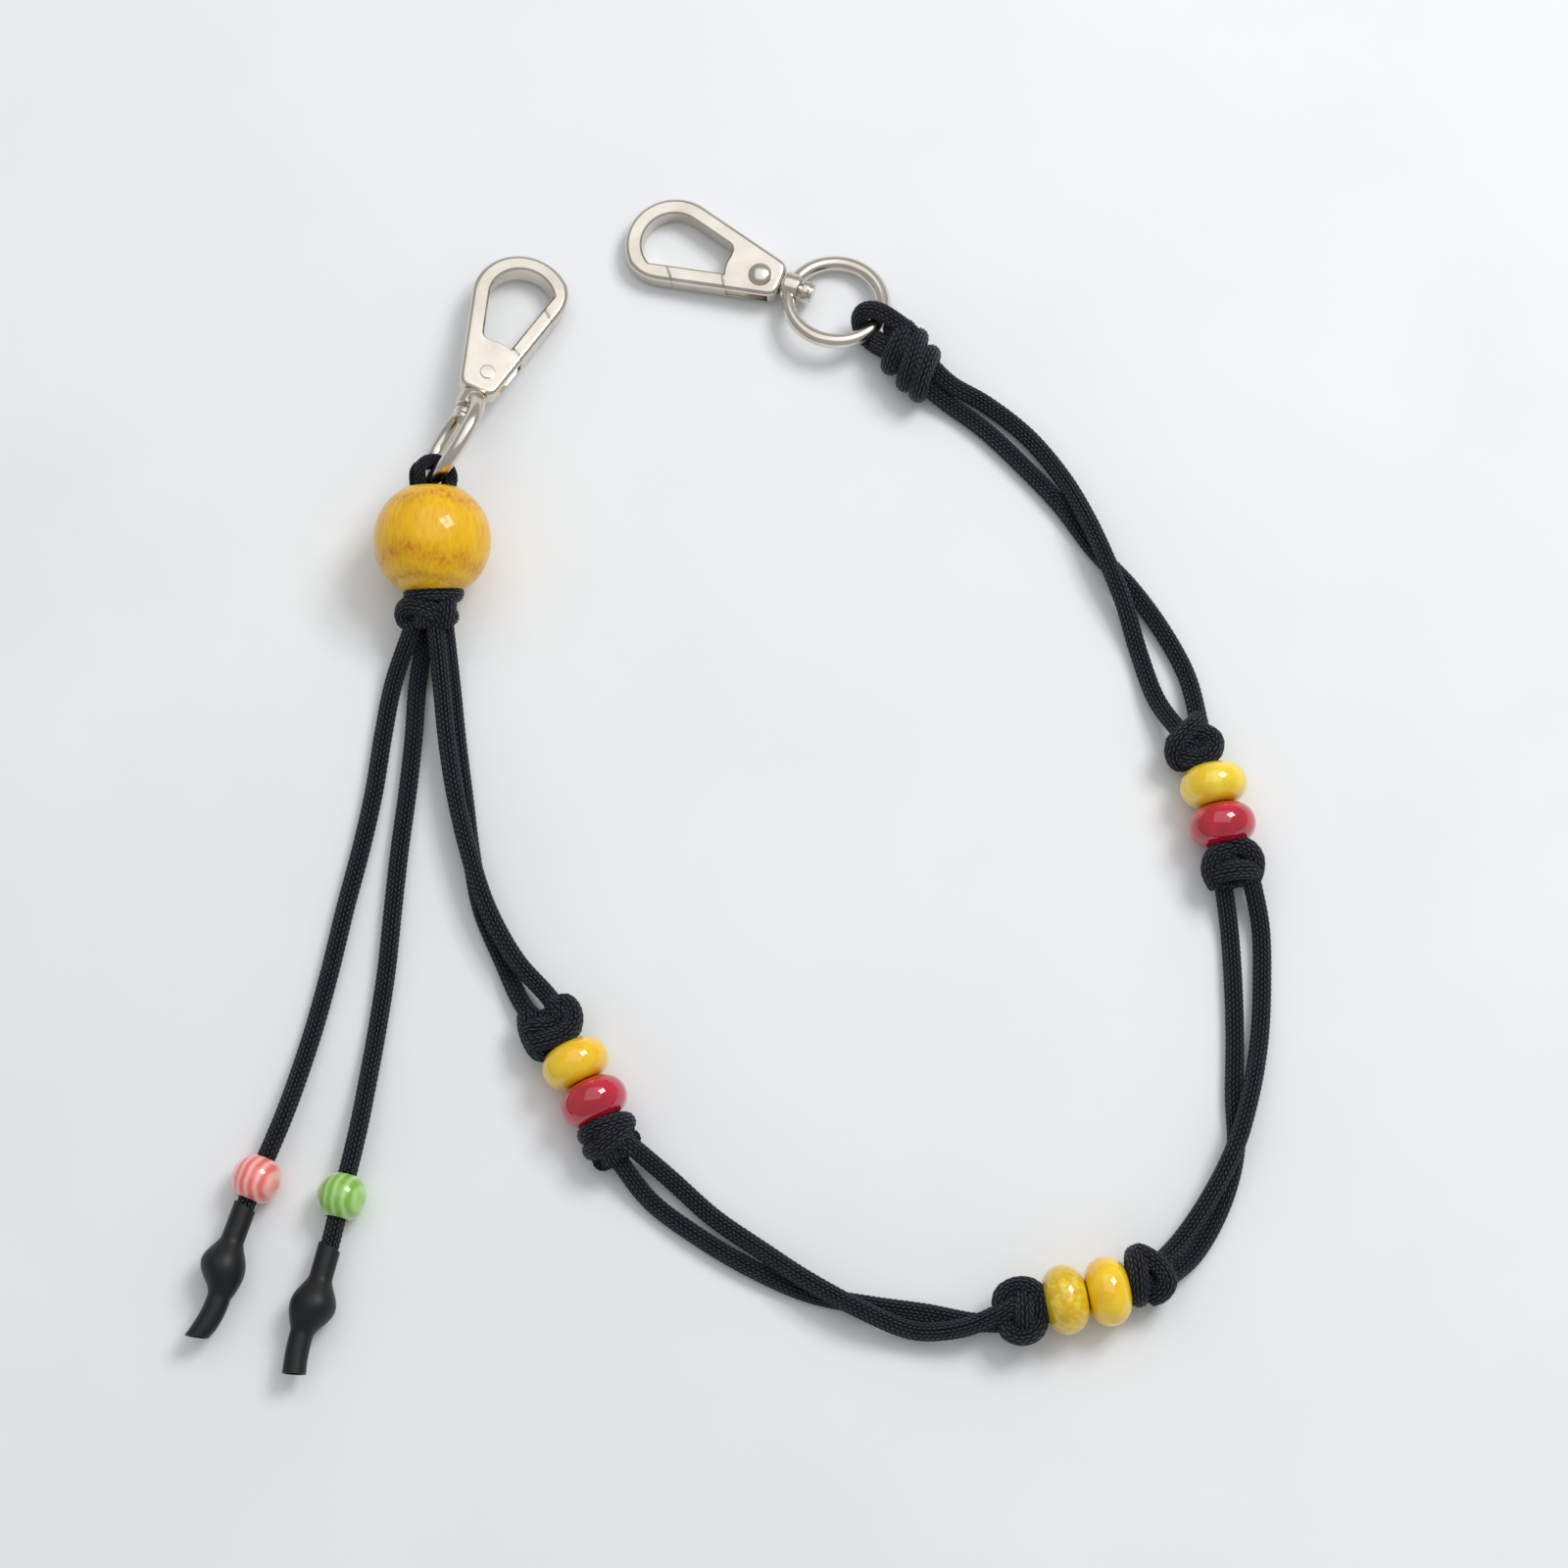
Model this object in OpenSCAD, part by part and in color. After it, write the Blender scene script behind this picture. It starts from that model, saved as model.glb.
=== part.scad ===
// Beaded cord strap with a swivel snap hook at each end, laid out flat.
// One doubled cord carries three pairs of glass beads, a wooden ball and two beaded tails.

/* [Cord] */
// Diameter of the braided cord
cord_d = 3.8; // [3.6:0.1:4]
// Diameter of one strand squeezed inside a bead
squeezed_d = 2.7; // [2.2:0.1:2.8]
// Diameter of one strand squeezed inside the ball and round ring B
leg_d = 2.5; // [2.4:0.1:2.6]
// Width of an overhand knot across the cord
knot_w = 11.2; // [9.6:0.2:12]
// Length of an overhand knot along the cord
knot_l = 9; // [7.6:0.2:9.4]

/* [Beads] */
// Outer diameter of a large-hole glass bead
bead_d = 14.3; // [12:0.1:17]
// Length of a glass bead along its hole
bead_l = 8.7; // [7.2:0.1:8.8]
// Hole of a glass bead
bead_hole_d = 5.7; // [5.6:0.1:6.6]
// Diameter of a tail bead
tail_bead_d = 10.3; // [8.6:0.1:10.4]
// Hole of a tail bead
tail_hole_d = 4.5; // [4.4:0.1:5]
// Diameter of the wooden ball
ball_d = 25; // [22:0.5:25]
// Hole through the wooden ball
ball_hole_d = 10.6; // [9.8:0.1:10.4]

/* [Sleeves] */
// Outer diameter of a heat-shrink sleeve
sleeve_d = 4.8; // [4.6:0.1:5.6]
// Wall of a heat-shrink sleeve
sleeve_wall = 0.4; // [0.25:0.05:0.4]
// Outer diameter where the sleeve swells over the stopper knot
bulge_d = 9.4; // [8:0.2:10]
// Length of the sleeve on the left tail
sleeve_left_l = 28.5; // [24:0.5:34]
// Length of the sleeve on the right tail
sleeve_right_l = 27; // [24:0.5:34]

/* [Snap hook] */
// Outer radius of the hook's eye
eye_r = 10.8; // [10:0.1:12.4]
// Inner radius of the hook's eye
eye_in_r = 7.1; // [6.4:0.1:7.4]
// Thickness of the hook body
hook_t = 5; // [4.6:0.1:5]
// Distance from the eye's centre to the tail face
tail_x = 25.3; // [23.8:0.1:28]
// Width of the tail
tail_w = 8; // [7.4:0.1:9]
// Thickness of each cheek beside the gate slot
cheek_t = 1.05; // [0.9:0.05:1.3]
// Thickness of the wall that holds the swivel post
tail_wall = 1.9; // [1.6:0.1:2.2]
// Distance from the tail face to the gate's pivot
pivot_back = 4.9; // [4.4:0.1:5]
// Width of the gate bar
gate_w = 3.5; // [3:0.1:3.6]
// Diameter of the gate's rivet
rivet_d = 2.6; // [2.2:0.1:2.8]
// Diameter of the rivet's domed head
dome_d = 5.2; // [4.4:0.1:5.6]
// Height of the rivet's domed head
dome_h = 1.3; // [0.9:0.1:1.6]

/* [Swivel ring] */
// Outer diameter of the ring
ring_d = 23.7; // [23:0.1:25.5]
// Diameter of the ring's wire
wire_d = 3.2; // [2.8:0.1:3.3]
// Diameter of the flattened boss
boss_d = 6.2; // [5.8:0.1:6.8]
// Diameter of the swivel post
post_d = 2.8; // [2.4:0.1:3]
// Diameter of the post's round head
head_d = 5; // [4.4:0.1:5.4]
// Height of the post's round head
head_h = 2.2; // [1.6:0.1:2.4]

/* [Hidden] */

$fn = 64;
black = "#1c1f24";
nickel = "#d5cdc0";
// gap between surfaces that turn or slide on each other
running = 0.1;
// how far the ring's boss can slide along the swivel post
swivel_play = 0.8;
// gap between pieces that only lie beside each other
beside = 0.3;
// overlap that lets two shapes of one solid join
join = 0.05;
// sides of a tube
sides = 8;
knot_rim = 0.44 * knot_l;

// ---- derived sizes of the snap hook, in its own frame ----
// the eye's centre is the origin, +X runs to the tail, the gate lies on -Y
pivot = [tail_x - pivot_back, -0.5];
slot_h = hook_t - 2 * cheek_t;
slot_end = tail_x - tail_wall;
gate_tail_t = slot_h - 2 * running;
gate_out_r = 8.8;
gate_in_r = gate_out_r - gate_w;
// front of the cheeks, an arc about the pivot that the gate bar swings past
front_r = 8;
opening_x = pivot[0] - front_r + 2 * running;
tail_far = norm([tail_x, tail_w / 2]);
tail_lean = atan2(tail_w / 2, tail_x);
// angle at which a line through the tail's corner touches a circle about the eye
function touch(r) = tail_lean + acos(r / tail_far);
gate_angle = touch(gate_out_r);
back_angle = touch(eye_r);
ring_r = (ring_d - wire_d) / 2;
boss_t = wire_d + 0.6;
ring_x = tail_x + beside + boss_t / 2 + ring_r;
post_hole_d = post_d + 2 * running;

// ---- where each thing lies on the table ----
hook_a_at = [-12.4, 119.1, 3.1];
hook_a_turn = [0, -3, -21];
ring_a_roll = -13;
hook_b_at = [-45.7, 105.3, 5.2];
hook_b_turn = [173, -11.7, -111.5];
ring_b_roll = 66;
ball_at = [-63, 48.6, ball_d / 2];
ball_tilt = 10;
bead_z = bead_d / 2;
// middle of each bead pair and the heading of its hole
pair_bc = [102.3, -8, bead_z];
heading_bc = -80;
pair_de = [72.8, -110.7, bead_z];
heading_de = 191;
pair_gf = [-29.5, -66.9, bead_z];
heading_gf = -64;
knot_step = bead_l + beside + join + knot_l / 2;
knot_z = max(knot_w / 2 + join, 6.3);
knot_a_at = [39, 92, 6];
knot_a_l = 13.4;
heading_a = -45;
// distance from the ball's centre to the plane of its mouths
ball_mouth = sqrt(pow(ball_d / 2, 2) - pow(ball_hole_d / 2, 2));
knot_h_drop = ball_mouth + 3.5;
tail_z = tail_bead_d / 2;
tail_left_at = [-96.4, -86.6, tail_z];
tail_left_heading = -111.3;
tail_right_at = [-78.9, -90.2, tail_z];
tail_right_heading = -102;
sleeve_left_at = [-98.6, -92.2, tail_z];
sleeve_left_heading = -108.5;
sleeve_right_at = [-81.1, -100.5, tail_z];
sleeve_right_heading = -104;
// share of a sleeve's length at which its stopper knot sits
stopper_share = 0.46;

// ---- cord routes, a point about every three diameters ----
route_ab_over = [[42.6, 91, 6.4], [47.5, 86.8, 4.6], [55, 83, 2.6], [64, 75.5, 2.6], [71.5, 65.5, 3.6],
    [76.5, 55.5, 5.5], [80.5, 45.8, 6], [83.8, 37.5, 4.6], [87, 27, 2], [90.5, 16, 3.2], [95.6, 7, 6.9]];
route_ab_under = [[41, 87.3, 4.4], [47, 83.2, 2.2], [54.5, 77.5, 2], [63, 69, 2], [71, 60, 2], [78, 50, 2],
    [85.5, 41.5, 2], [92, 32, 2], [97, 22, 2], [99, 12.5, 3.6], [99.4, 7.6, 5.4]];
route_cd_over = [[108.5, -21.5, 6.6], [111, -33, 2.5], [111, -45, 2], [110, -57, 2.8], [107.5, -69, 5.3],
    [104, -80, 6], [98.5, -90.5, 5], [92.5, -99, 4.4], [87.6, -104.2, 6.6]];
route_cd_under = [[103, -22.5, 5], [104.5, -33, 2], [105, -45, 2], [105, -57, 2], [104.5, -69, 2],
    [104.5, -80, 2], [101.5, -91, 2], [95.5, -101.5, 2], [88.3, -107.9, 4.9]];
route_ef_over = [[-20.5, -79.2, 5.8], [-12, -86, 2.6], [-3, -94, 2.2], [6.8, -101, 3.9], [16.5, -107.6, 5.8],
    [27, -113.3, 5.9], [38, -117.4, 3.8], [48, -117, 5.8], [56.8, -113.6, 7.8]];
route_ef_under = [[-23, -81.8, 4.6], [-16, -90.5, 2], [-6, -98, 2], [5, -104.5, 2], [17, -109.7, 2],
    [29, -112, 2], [40.5, -113.6, 2], [50, -115.4, 2], [57.3, -116, 4.6]];
route_gh_over = [[-34.4, -52.3, 6.6], [-38, -47.6, 4.9], [-44, -41, 5.5], [-50.2, -30, 6], [-54.3, -18, 6],
    [-57.3, -6, 6], [-59.4, 6, 6], [-60.8, 18, 6.2], [-62.2, 31.6, 10.2]];
route_gh_under = [[-38.6, -54, 5], [-42.2, -50.5, 3], [-47.2, -40, 2], [-51.8, -29, 2], [-54.2, -17, 2],
    [-55.9, -5, 2], [-57.6, 7, 2], [-58.9, 18, 2], [-60.4, 31.4, 6.8]];
route_tail_left = [[-66.6, 31.6, 9], [-71.3, 20, 3], [-73.3, 9, 2], [-75, -4, 2], [-77.3, -16, 2],
    [-80.3, -29, 2], [-83, -42, 2], [-86, -54.5, 2], [-89, -65.5, 3.2]];
route_tail_right = [[-64.4, 31.2, 5.8], [-66.4, 19, 2], [-66.9, 8, 2], [-67.9, -4, 2], [-69.2, -16, 2],
    [-70.3, -29, 2], [-71.3, -42, 2], [-72.8, -54, 2], [-74.4, -65.5, 3.2]];
// length of straight cord that a tail bead can slide on, above it
tail_slide = 14;

// ---- swept tubes ----
function unit(v) = v / norm(v);
function tangent(route, i) = unit(route[min(i + 1, len(route) - 1)] - route[max(i - 1, 0)]);
function square_to(v, t) = unit(v - (v * t) * t);
// a side vector carried along the route without twist
function side_vectors(route, start) = [for (i = 0, v = square_to(start, tangent(route, 0));
    i < len(route);
    i = i + 1, v = square_to(v, tangent(route, min(i, len(route) - 1)))) v];

module tube(route, d, start = [0, 0, 1]) {
    side = side_vectors(route, start);
    n = len(route);
    rings = [for (i = [0 : n - 1]) let (u = side[i], w = cross(tangent(route, i), u))
        for (k = [0 : sides - 1]) route[i] + d / 2 * (cos(360 * k / sides) * u + sin(360 * k / sides) * w)];
    walls = [for (i = [0 : n - 2]) for (k = [0 : sides - 1]) let (m = (k + 1) % sides)
        [i * sides + k, (i + 1) * sides + k, (i + 1) * sides + m, i * sides + m]];
    first = [for (k = [0 : sides - 1]) k];
    last = [for (k = [sides - 1 : -1 : 0]) (n - 1) * sides + k];
    color(black) polyhedron(points = rings, faces = concat(walls, [first, last]), convexity = 6);
}

// the point at a distance along a heading on the table
function ahead(at, heading, distance) = at + distance * [cos(heading), sin(heading), 0];

// ---- soft and strung pieces ----
// shapes along a heading are drawn along +X
module along(at, heading) translate(at) rotate([0, 0, heading]) children();

// a barrel with well rounded rims
module knot(at, heading, length = knot_l) color(black) along(at, heading) rotate([0, 90, 0])
    rotate_extrude() intersection() {
        union() {
            for (side = [-1, 1]) translate([knot_w / 2 - knot_rim, side * (length / 2 - knot_rim)])
                circle(r = knot_rim);
            translate([0, knot_rim - length / 2]) square([knot_w / 2, length - 2 * knot_rim]);
            translate([0, -length / 2]) square([knot_w / 2 - knot_rim, length]);
        }
        translate([0, -length]) square([knot_w, 2 * length]);
    }

module bead(tint, at, heading) color(tint) along(at, heading) rotate([0, 90, 0])
    rotate_extrude() difference() {
        translate([(bead_d - bead_l) / 2, 0]) circle(d = bead_l);
        translate([-bead_d, -bead_d]) square([bead_d + bead_hole_d / 2, 2 * bead_d]);
    }

module core(at, heading) color(black) along(at, heading) for (side = [-1, 1])
    translate([-knot_step - join, 0, side * (squeezed_d - 2 * join) / 2]) rotate([0, 90, 0])
        cylinder(d = squeezed_d, h = 2 * (knot_step + join));

// the ball's bore is drawn along Y and rises towards ring B
module on_ball() translate(ball_at) rotate([ball_tilt, 0, 0]) children();
function on_ball(v) = ball_at + turn_x(v, ball_tilt);

module wooden_ball() color("#e8a81c") on_ball() rotate([90, 0, 0]) rotate_extrude() difference() {
    circle(d = ball_d);
    translate([-ball_d, -ball_d]) square([ball_d + ball_hole_d / 2, 2 * ball_d]);
}

module tail_bead(tint, at, heading) color(tint) along(at, heading) rotate([0, 90, 0])
    difference() {
        sphere(d = tail_bead_d);
        cylinder(d = tail_hole_d, h = 2 * tail_bead_d, center = true);
    }

// outline of a sleeve or of the space in it, from its axis outwards
module sleeve_outline(length, tube_r, swell_r, margin) {
    translate([0, -margin]) square([tube_r, length + 2 * margin]);
    intersection() {
        translate([0, stopper_share * length]) circle(r = swell_r);
        translate([0, -length]) square([2 * swell_r, 3 * length]);
    }
}

module sleeve(at, heading, length) color("#2b2d30") along(at, heading) rotate([0, 90, 0])
    rotate_extrude() difference() {
        sleeve_outline(length, sleeve_d / 2, bulge_d / 2, 0);
        sleeve_outline(length, sleeve_d / 2 - sleeve_wall, bulge_d / 2 - sleeve_wall, 1);
    }

module stopper(at, heading, length) color(black)
    translate(ahead(at, heading, stopper_share * length)) sphere(d = bulge_d - 2 * sleeve_wall - 2 * running);

// the hand-laid stretch, then straight through the bead and on into the stopper knot
function tail_route(route, bead_at, bead_heading, sleeve_at, sleeve_heading, length) = concat(route,
    [ahead(bead_at, bead_heading, -tail_slide), bead_at, sleeve_at,
    ahead(sleeve_at, sleeve_heading, stopper_share * length - 2)]);

// ---- snap hook ----
function polar(r, angle) = r * [cos(angle), sin(angle)];

module arm_outline() polygon([[0, 0], polar(eye_r - join, back_angle), [tail_x, tail_w / 2],
    [tail_x, -tail_w], [0, -2 * eye_r]]);

// everything on the gate's side of a line parallel to the gate
module beyond_gate(r) rotate(-gate_angle) translate([r, -3 * eye_r]) square([3 * eye_r, 6 * eye_r]);

module eye_opening() difference() {
    union() {
        circle(r = eye_in_r);
        intersection() {
            polygon([[0, 0], polar(eye_in_r - join, back_angle),
                polar(eye_in_r - join, back_angle) + 3 * eye_r * polar(1, back_angle - 90),
                [3 * eye_r, -2 * eye_r], [0, -2 * eye_r]]);
            square([2 * opening_x, 4 * eye_r], center = true);
        }
    }
    beyond_gate(gate_in_r);
    translate(pivot) circle(r = front_r);
}

// the gate bar's own strip, from the nose to the arc about the pivot
module gate_zone(clear) difference() {
    beyond_gate(gate_in_r - clear);
    translate(pivot) circle(r = front_r + beside - clear);
    // the nose is cut on a slant, so that the gate closes against it
    translate(polar(gate_in_r, -gate_angle) + [-0.8 - clear, 0]) rotate(117 - gate_angle)
        translate([-2 * eye_r, -4 * eye_r]) square([2 * eye_r, 8 * eye_r]);
    translate([pivot[0], -4 * eye_r]) square([4 * eye_r, 8 * eye_r]);
}

// the gate's thin end, which turns in the slot
module gate_end() difference() {
    intersection() {
        arm_outline();
        beyond_gate(gate_in_r);
        translate(pivot) circle(r = front_r + beside + 1);
    }
    beyond_gate(gate_out_r);
    translate(pivot + [1, -2 * eye_r]) square([2 * eye_r, 4 * eye_r]);
}

module slot_outline() polygon([[opening_x - 3, -2 * eye_r], [opening_x - 3, 1.4], [pivot[0] - 2.8, 2.5],
    [slot_end, 2.5], [slot_end, -2 * eye_r]]);

module at_pivot() translate([pivot[0], pivot[1], 0]) children();

module hook_body() color(nickel) difference() {
    union() {
        cylinder(r = eye_r, h = hook_t, center = true);
        linear_extrude(hook_t, center = true) arm_outline();
    }
    linear_extrude(2 * hook_t, center = true) eye_opening();
    linear_extrude(2 * hook_t, center = true) beyond_gate(gate_out_r);
    linear_extrude(2 * hook_t, center = true) gate_zone(running);
    linear_extrude(slot_h, center = true) slot_outline();
    at_pivot() cylinder(d = rivet_d, h = 2 * hook_t, center = true);
    rotate([0, 90, 0]) cylinder(d = post_d, h = 2 * tail_x);
}

module gate() color(nickel) difference() {
    union() {
        linear_extrude(hook_t, center = true) difference() {
            intersection() {
                arm_outline();
                gate_zone(0);
            }
            beyond_gate(gate_out_r);
        }
        linear_extrude(gate_tail_t, center = true) gate_end();
        at_pivot() cylinder(r = slot_end - pivot[0] - 2 * running, h = gate_tail_t, center = true);
    }
    at_pivot() {
        cylinder(d = rivet_d + 2 * running, h = 2 * hook_t, center = true);
        translate([0, 0, gate_tail_t / 2 - 1.5]) cylinder(d = rivet_d + 1.5, h = hook_t);
    }
}

module gate_rivet() color(nickel) at_pivot() {
    cylinder(d = rivet_d, h = hook_t, center = true);
    dome_sphere_r = (dome_h * dome_h + dome_d * dome_d / 4) / (2 * dome_h);
    translate([0, 0, hook_t / 2]) intersection() {
        translate([0, 0, dome_h - dome_sphere_r]) sphere(r = dome_sphere_r);
        cylinder(d = dome_d, h = dome_h);
    }
    translate([0, 0, -hook_t / 2 - 0.3]) cylinder(d = rivet_d + 0.6, h = 0.3);
}

// the torsion spring, drawn as its closed coil round the rivet
module gate_spring() color("#8c9096") at_pivot() translate([0, 0, gate_tail_t / 2 - 1.35]) difference() {
    cylinder(d = rivet_d + 1.3, h = 1.3);
    translate([0, 0, -1]) cylinder(d = rivet_d + 0.2, h = 4);
}

module swivel_post() color(nickel) rotate([0, 90, 0]) {
    translate([0, 0, slot_end]) cylinder(d = post_d, h = tail_wall + beside + boss_t + swivel_play + join);
    translate([0, 0, tail_x + beside + boss_t + swivel_play]) {
        cylinder(d = head_d, h = head_h - 0.8);
        translate([0, 0, head_h - 0.8]) cylinder(d1 = head_d, d2 = head_d - 1.6, h = 0.8);
    }
}

module swivel_ring() color(nickel) difference() {
    union() {
        translate([ring_x, 0, 0]) rotate_extrude() translate([ring_r, 0]) circle(d = wire_d);
        translate([tail_x + beside, 0, 0]) rotate([0, 90, 0]) cylinder(d = boss_d, h = boss_t);
    }
    translate([tail_x, 0, 0]) rotate([0, 90, 0]) cylinder(d = post_hole_d, h = boss_t + 2);
}

module on_hook_a() translate(hook_a_at) rotate(hook_a_turn) children();
module on_ring_a() translate(hook_a_at) rotate([ring_a_roll, hook_a_turn[1], hook_a_turn[2]]) children();
module on_hook_b() translate(hook_b_at) rotate(hook_b_turn) children();
module on_ring_b() translate(hook_b_at) rotate([ring_b_roll, hook_b_turn[1], hook_b_turn[2]]) children();

// ---- cord loops round the rings' wires ----
// angle from the post's axis at which loop A holds ring A
loop_a_angle = -15;
loop_a_r = (wire_d + cord_d) / 2 + beside;
// along the ring's radius, square to the ring's plane, and along its wire
route_loop_a = concat([[8.5, 1.8, 2.2], [4, 0.9 * loop_a_r, 1.8]],
    [for (turn = [90 : 30 : 270]) [loop_a_r * cos(turn), loop_a_r * sin(turn), 1.5 * (180 - turn) / 90]],
    [[4, -0.9 * loop_a_r, -1.8], [8.5, -1.4, -2.2]]);

module loop_ring_a() on_ring_a() translate([ring_x, 0, 0]) rotate([0, 0, loop_a_angle])
    tube([for (p = route_loop_a) [ring_r + p[0], p[2], p[1]]], cord_d, [0, 1, 0]);

loop_b_r = (wire_d + leg_d) / 2 + 3 * beside;
leg_gap = leg_d / 2 + running;

// one bight round ring B's wire; its legs run through the ball into knot H
module loop_ring_b(level) {
    hold = hook_b_at + rotated([ring_x + ring_r, 0, 0]);
    out = rotated([1, 0, 0]);
    wire = rotated([0, 1, 0]);
    face = rotated([0, 0, 1]);
    bight = [for (turn = [-90 : 30 : 90])
        hold - loop_b_r * cos(turn) * out + loop_b_r * sin(turn) * face + level * leg_gap * wire];
    side = bight[0][0] < bight[6][0] ? 1 : -1;
    // offset from the bore's axis, place along it and share of the wire's lean, from the mouth to knot H
    leg = [[loop_b_r - 2.6 * beside, ball_mouth - 0.4, 1], [0.7 * loop_b_r, ball_mouth - 4.5, 0.5],
        [leg_gap, 1.5, 0], [leg_gap, 2 - knot_h_drop, 0]];
    lean = leg_gap * wire[0];
    legs = [for (p = leg) on_ball([side * p[0] + level * lean * p[2], p[1], level * leg_gap])];
    back = [for (i = [3 : -1 : 0]) let (p = leg[i])
        on_ball([-side * p[0] + level * lean * p[2], p[1], level * leg_gap])];
    tube(concat(back, bight, legs), leg_d);
}

// a vector of ring B's own frame, turned as ring B lies
function turn_x(v, a) = [v[0], v[1] * cos(a) - v[2] * sin(a), v[1] * sin(a) + v[2] * cos(a)];
function turn_y(v, a) = [v[0] * cos(a) + v[2] * sin(a), v[1], -v[0] * sin(a) + v[2] * cos(a)];
function turn_z(v, a) = [v[0] * cos(a) - v[1] * sin(a), v[0] * sin(a) + v[1] * cos(a), v[2]];
function rotated(v) = turn_z(turn_y(turn_x(v, ring_b_roll), hook_b_turn[1]), hook_b_turn[2]);

// a knot beside a bead pair; sideways is the knot's offset from the beads' axis
function knot_at(pair, heading, side, sideways) = let (p = ahead(pair, heading, side * knot_step))
    [p[0] - sideways * sin(heading), p[1] + sideways * cos(heading), knot_z];

half_pair = bead_l / 2 + join;

on_hook_a() hook_body();  // hook_body_a
on_hook_a() gate();  // gate_a
on_hook_a() gate_rivet();  // gate_rivet_a
on_hook_a() gate_spring();  // gate_spring_a
on_hook_a() swivel_post();  // swivel_post_a
on_ring_a() swivel_ring();  // swivel_ring_a
on_hook_b() hook_body();  // hook_body_b
on_hook_b() gate();  // gate_b
on_hook_b() gate_rivet();  // gate_rivet_b
on_hook_b() gate_spring();  // gate_spring_b
on_hook_b() swivel_post();  // swivel_post_b
on_ring_b() swivel_ring();  // swivel_ring_b
wooden_ball();
bead("#f3c623", ahead(pair_bc, heading_bc, -half_pair), heading_bc);  // bead_yellow_bc
bead("#b01c33", ahead(pair_bc, heading_bc, half_pair), heading_bc);  // bead_red_bc
bead("#f8c01f", ahead(pair_de, heading_de, -half_pair), heading_de);  // bead_yellow_de
bead("#e0b520", ahead(pair_de, heading_de, half_pair), heading_de);  // bead_clear_de
bead("#f5b90f", ahead(pair_gf, heading_gf, -half_pair), heading_gf);  // bead_yellow_gf
bead("#b01c33", ahead(pair_gf, heading_gf, half_pair), heading_gf);  // bead_red_gf
tail_bead("#f0685f", tail_left_at, tail_left_heading);  // tail_bead_left
tail_bead("#7cc653", tail_right_at, tail_right_heading);  // tail_bead_right
sleeve(sleeve_left_at, sleeve_left_heading, sleeve_left_l);  // sleeve_left
sleeve(sleeve_right_at, sleeve_right_heading, sleeve_right_l);  // sleeve_right
stopper(sleeve_left_at, sleeve_left_heading, sleeve_left_l);  // stopper_left
stopper(sleeve_right_at, sleeve_right_heading, sleeve_right_l);  // stopper_right
knot(knot_a_at, heading_a, knot_a_l);  // knot_a
knot(knot_at(pair_bc, heading_bc, -1, -2.4), heading_bc);  // knot_b
knot(knot_at(pair_bc, heading_bc, 1, 0.5), heading_bc);  // knot_c
knot(knot_at(pair_de, heading_de, -1, -2), heading_de);  // knot_d
knot(knot_at(pair_de, heading_de, 1, 0.5), heading_de);  // knot_e
knot(knot_at(pair_gf, heading_gf, -1, -1), heading_gf);  // knot_g
knot(knot_at(pair_gf, heading_gf, 1, 0), heading_gf);  // knot_f
on_ball() knot([0, -knot_h_drop, 0], -90);  // knot_h
loop_ring_a();
loop_ring_b(1);  // loop_ring_b_upper
loop_ring_b(-1);  // loop_ring_b_lower
core(pair_bc, heading_bc);  // core_bc
core(pair_de, heading_de);  // core_de
core(pair_gf, heading_gf);  // core_gf
tube(route_ab_over, cord_d);  // strand_ab_over
tube(route_ab_under, cord_d);  // strand_ab_under
tube(route_cd_over, cord_d);  // strand_cd_over
tube(route_cd_under, cord_d);  // strand_cd_under
tube(route_ef_over, cord_d);  // strand_ef_over
tube(route_ef_under, cord_d);  // strand_ef_under
tube(route_gh_over, cord_d);  // strand_gh_over
tube(route_gh_under, cord_d);  // strand_gh_under
tube(tail_route(route_tail_left, tail_left_at,  // tail_cord_left
    tail_left_heading, sleeve_left_at, sleeve_left_heading, sleeve_left_l), cord_d);
tube(tail_route(route_tail_right, tail_right_at,  // tail_cord_right
    tail_right_heading, sleeve_right_at, sleeve_right_heading, sleeve_right_l), cord_d);
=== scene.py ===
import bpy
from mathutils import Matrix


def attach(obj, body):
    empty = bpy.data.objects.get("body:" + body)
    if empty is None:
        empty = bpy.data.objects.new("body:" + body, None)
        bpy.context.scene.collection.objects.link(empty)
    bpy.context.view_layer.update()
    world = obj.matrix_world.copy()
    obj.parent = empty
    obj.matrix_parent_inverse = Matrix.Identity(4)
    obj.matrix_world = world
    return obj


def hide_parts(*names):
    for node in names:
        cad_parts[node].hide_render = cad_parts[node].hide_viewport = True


bl_info = {
    "name": "Beaded cord strap with snap hooks",
    "version": (1, 0, 0),
    "blender": (4, 5, 0),
    "location": "View3D > Sidebar > Strap",
    "description": "A doubled paracord strap with glass beads, a wooden ball and two swivel snap hooks",
    "category": "Object",
}

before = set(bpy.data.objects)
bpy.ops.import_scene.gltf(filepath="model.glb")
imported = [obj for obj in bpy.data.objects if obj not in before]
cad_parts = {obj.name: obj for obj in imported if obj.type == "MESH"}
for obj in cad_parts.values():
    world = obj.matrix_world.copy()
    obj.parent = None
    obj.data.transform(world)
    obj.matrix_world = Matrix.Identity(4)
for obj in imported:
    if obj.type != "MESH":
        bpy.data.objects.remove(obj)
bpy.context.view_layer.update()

import math

import bmesh
import bpy
from mathutils import Euler, Matrix, Vector

MM = 0.001

# ---- sizes shared with the CAD, in millimetres and degrees ----
CORD = 3.8
SQUEEZED = 2.7
LEG = 2.5
# pulled tight in a knot, the cord flattens and looks a little wider
KNOT_CORD = 4.1
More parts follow.
